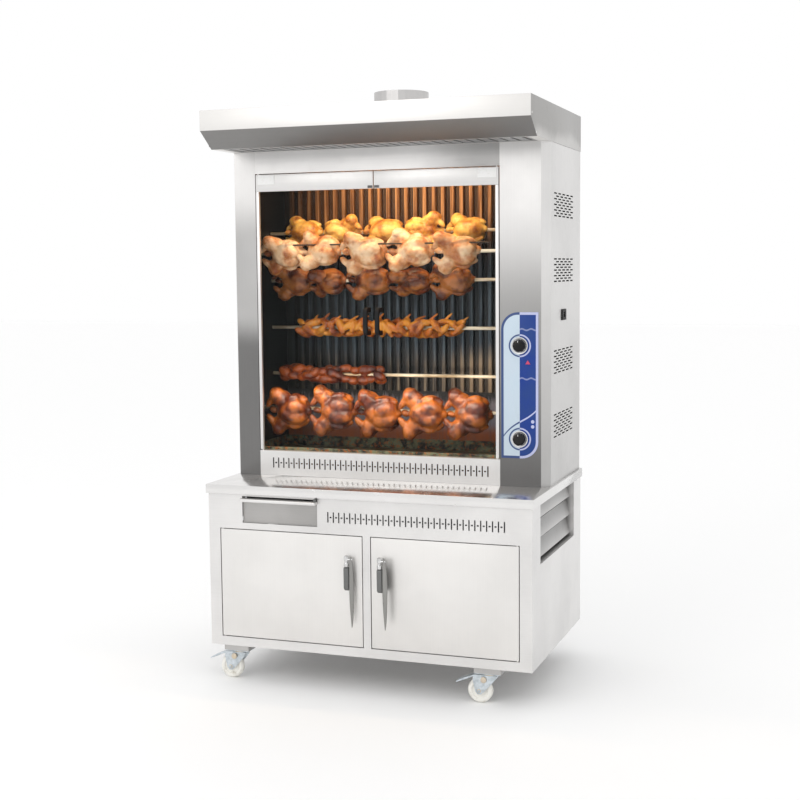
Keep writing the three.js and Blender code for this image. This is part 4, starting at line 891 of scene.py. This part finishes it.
# The warning lamp, a red triangular lens, and the mains inlet on the side cover.
lens = Finish("red_lens", (0.62, 0.03, 0.10), Coat_Weight=0.5)
cells = lens.noise(500.0, 2.0)
lens.feed(Base_Color=lens.mix(cells, (0.70, 0.05, 0.16), (0.42, 0.02, 0.08)), Roughness=0.2 + cells * 0.15)
lens.bump(cells, 0.2, 0.0004)
piece("lamp_lens", eased("pilot_lamp", 0.0007, 3), "cabinet", lens.material, ["pilot_lamp"])
socket = eased("power_inlet", 0.0009)
piece("inlet_socket", socket, "cabinet", black.material, ["power_inlet"])
low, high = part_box("power_inlet")
middle = (low + high) / 2
prongs = None
for offset in (-0.0065, 0.0065, 0.0):
    z0 = middle.z + (0.003 if offset else -0.005)
    prongs = brick((high.x - 0.0165, middle.y + offset - 0.001, z0 - 0.002),
                   (high.x - 0.004, middle.y + offset + 0.001, z0 + 0.002), 0.0003, 1, prongs)
piece("inlet_prongs", prongs, "cabinet", silver.material)

# The hood: a folded canopy with a hemmed edge, riveted at its corners, a baffle filter underneath
# and a flue collar on top.
hood_low, hood_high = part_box("hood")


# Painted shade: the hood's sloping face is painted dark, and its sides darken upwards from their lower edge.
def hood_painted_shade(x, y, z, drift):
    behind = y.ramp(hood_low.y + 0.0850, hood_low.y + 0.0870)
    slope = z.ramp(hood_high.z - 0.0715, hood_high.z - 0.0700, 0.30, 1.0)
    slope = slope + (1 - slope) * behind
    side = (x - (hood_low.x + hood_high.x) / 2).size().over((hood_high.x - hood_low.x) / 2 - 0.0006)
    return slope * (1 - side) + side * (z + drift * 0.1).ramp(hood_low.z, hood_low.z + 0.05, 0.72, 0.50)


hood_steel = stainless("hood_stainless", (0.80, 0.785, 0.765), rough=0.36, smear=0.05, tone=hood_painted_shade)
piece("hood_canopy", eased("hood", 0.0007), "cabinet", hood_steel, ["hood"])
low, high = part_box("hood")
rivets = None
rivet_spots = ((low.y + 0.070, low.z + 0.012), (low.y + 0.012, low.z + 0.070), (high.y - 0.02, low.z + 0.012))
for x_face, way in ((low.x, -1), (high.x, 1)):
    for y_at, z_at in rivet_spots:
        dome = [(0, -0.0005), (0.0040, -0.0005), (0.0038, 0.0004), (0.0026, 0.0012), (0.0010, 0.0016),
                (0, 0.0016)]
        dome = [(radius, way * rise) for radius, rise in dome]
        rivets = turned(dome, "x", (x_face, y_at, z_at), 20, rivets)
piece("hood_rivets", rivets, "cabinet", bright_steel)
filter_steel = stainless("filter_stainless", (0.42, 0.42, 0.42), rough=0.4, smear=0.2)
dress(filter_steel, "hood_filter")
dress(stainless("collar_sheet", (0.60, 0.59, 0.585), grain=upright, smear=0.14), "flue_collar")

# The floor the oven stands on, wide enough to run out of view.
reach = 30
floor = bpy.data.meshes.new("floor")
corners = [(-reach, -reach, 0), (reach, -reach, 0), (reach, reach, 0), (-reach, reach, 0)]
floor.from_pydata(corners, [], [(0, 1, 2, 3)])
ground = bpy.data.objects.new("floor", floor)
pale_floor = Finish("pale_floor", (0.99, 0.99, 0.99), Roughness=0.7)
floor.materials.append(pale_floor.material)
bpy.context.scene.collection.objects.link(ground)
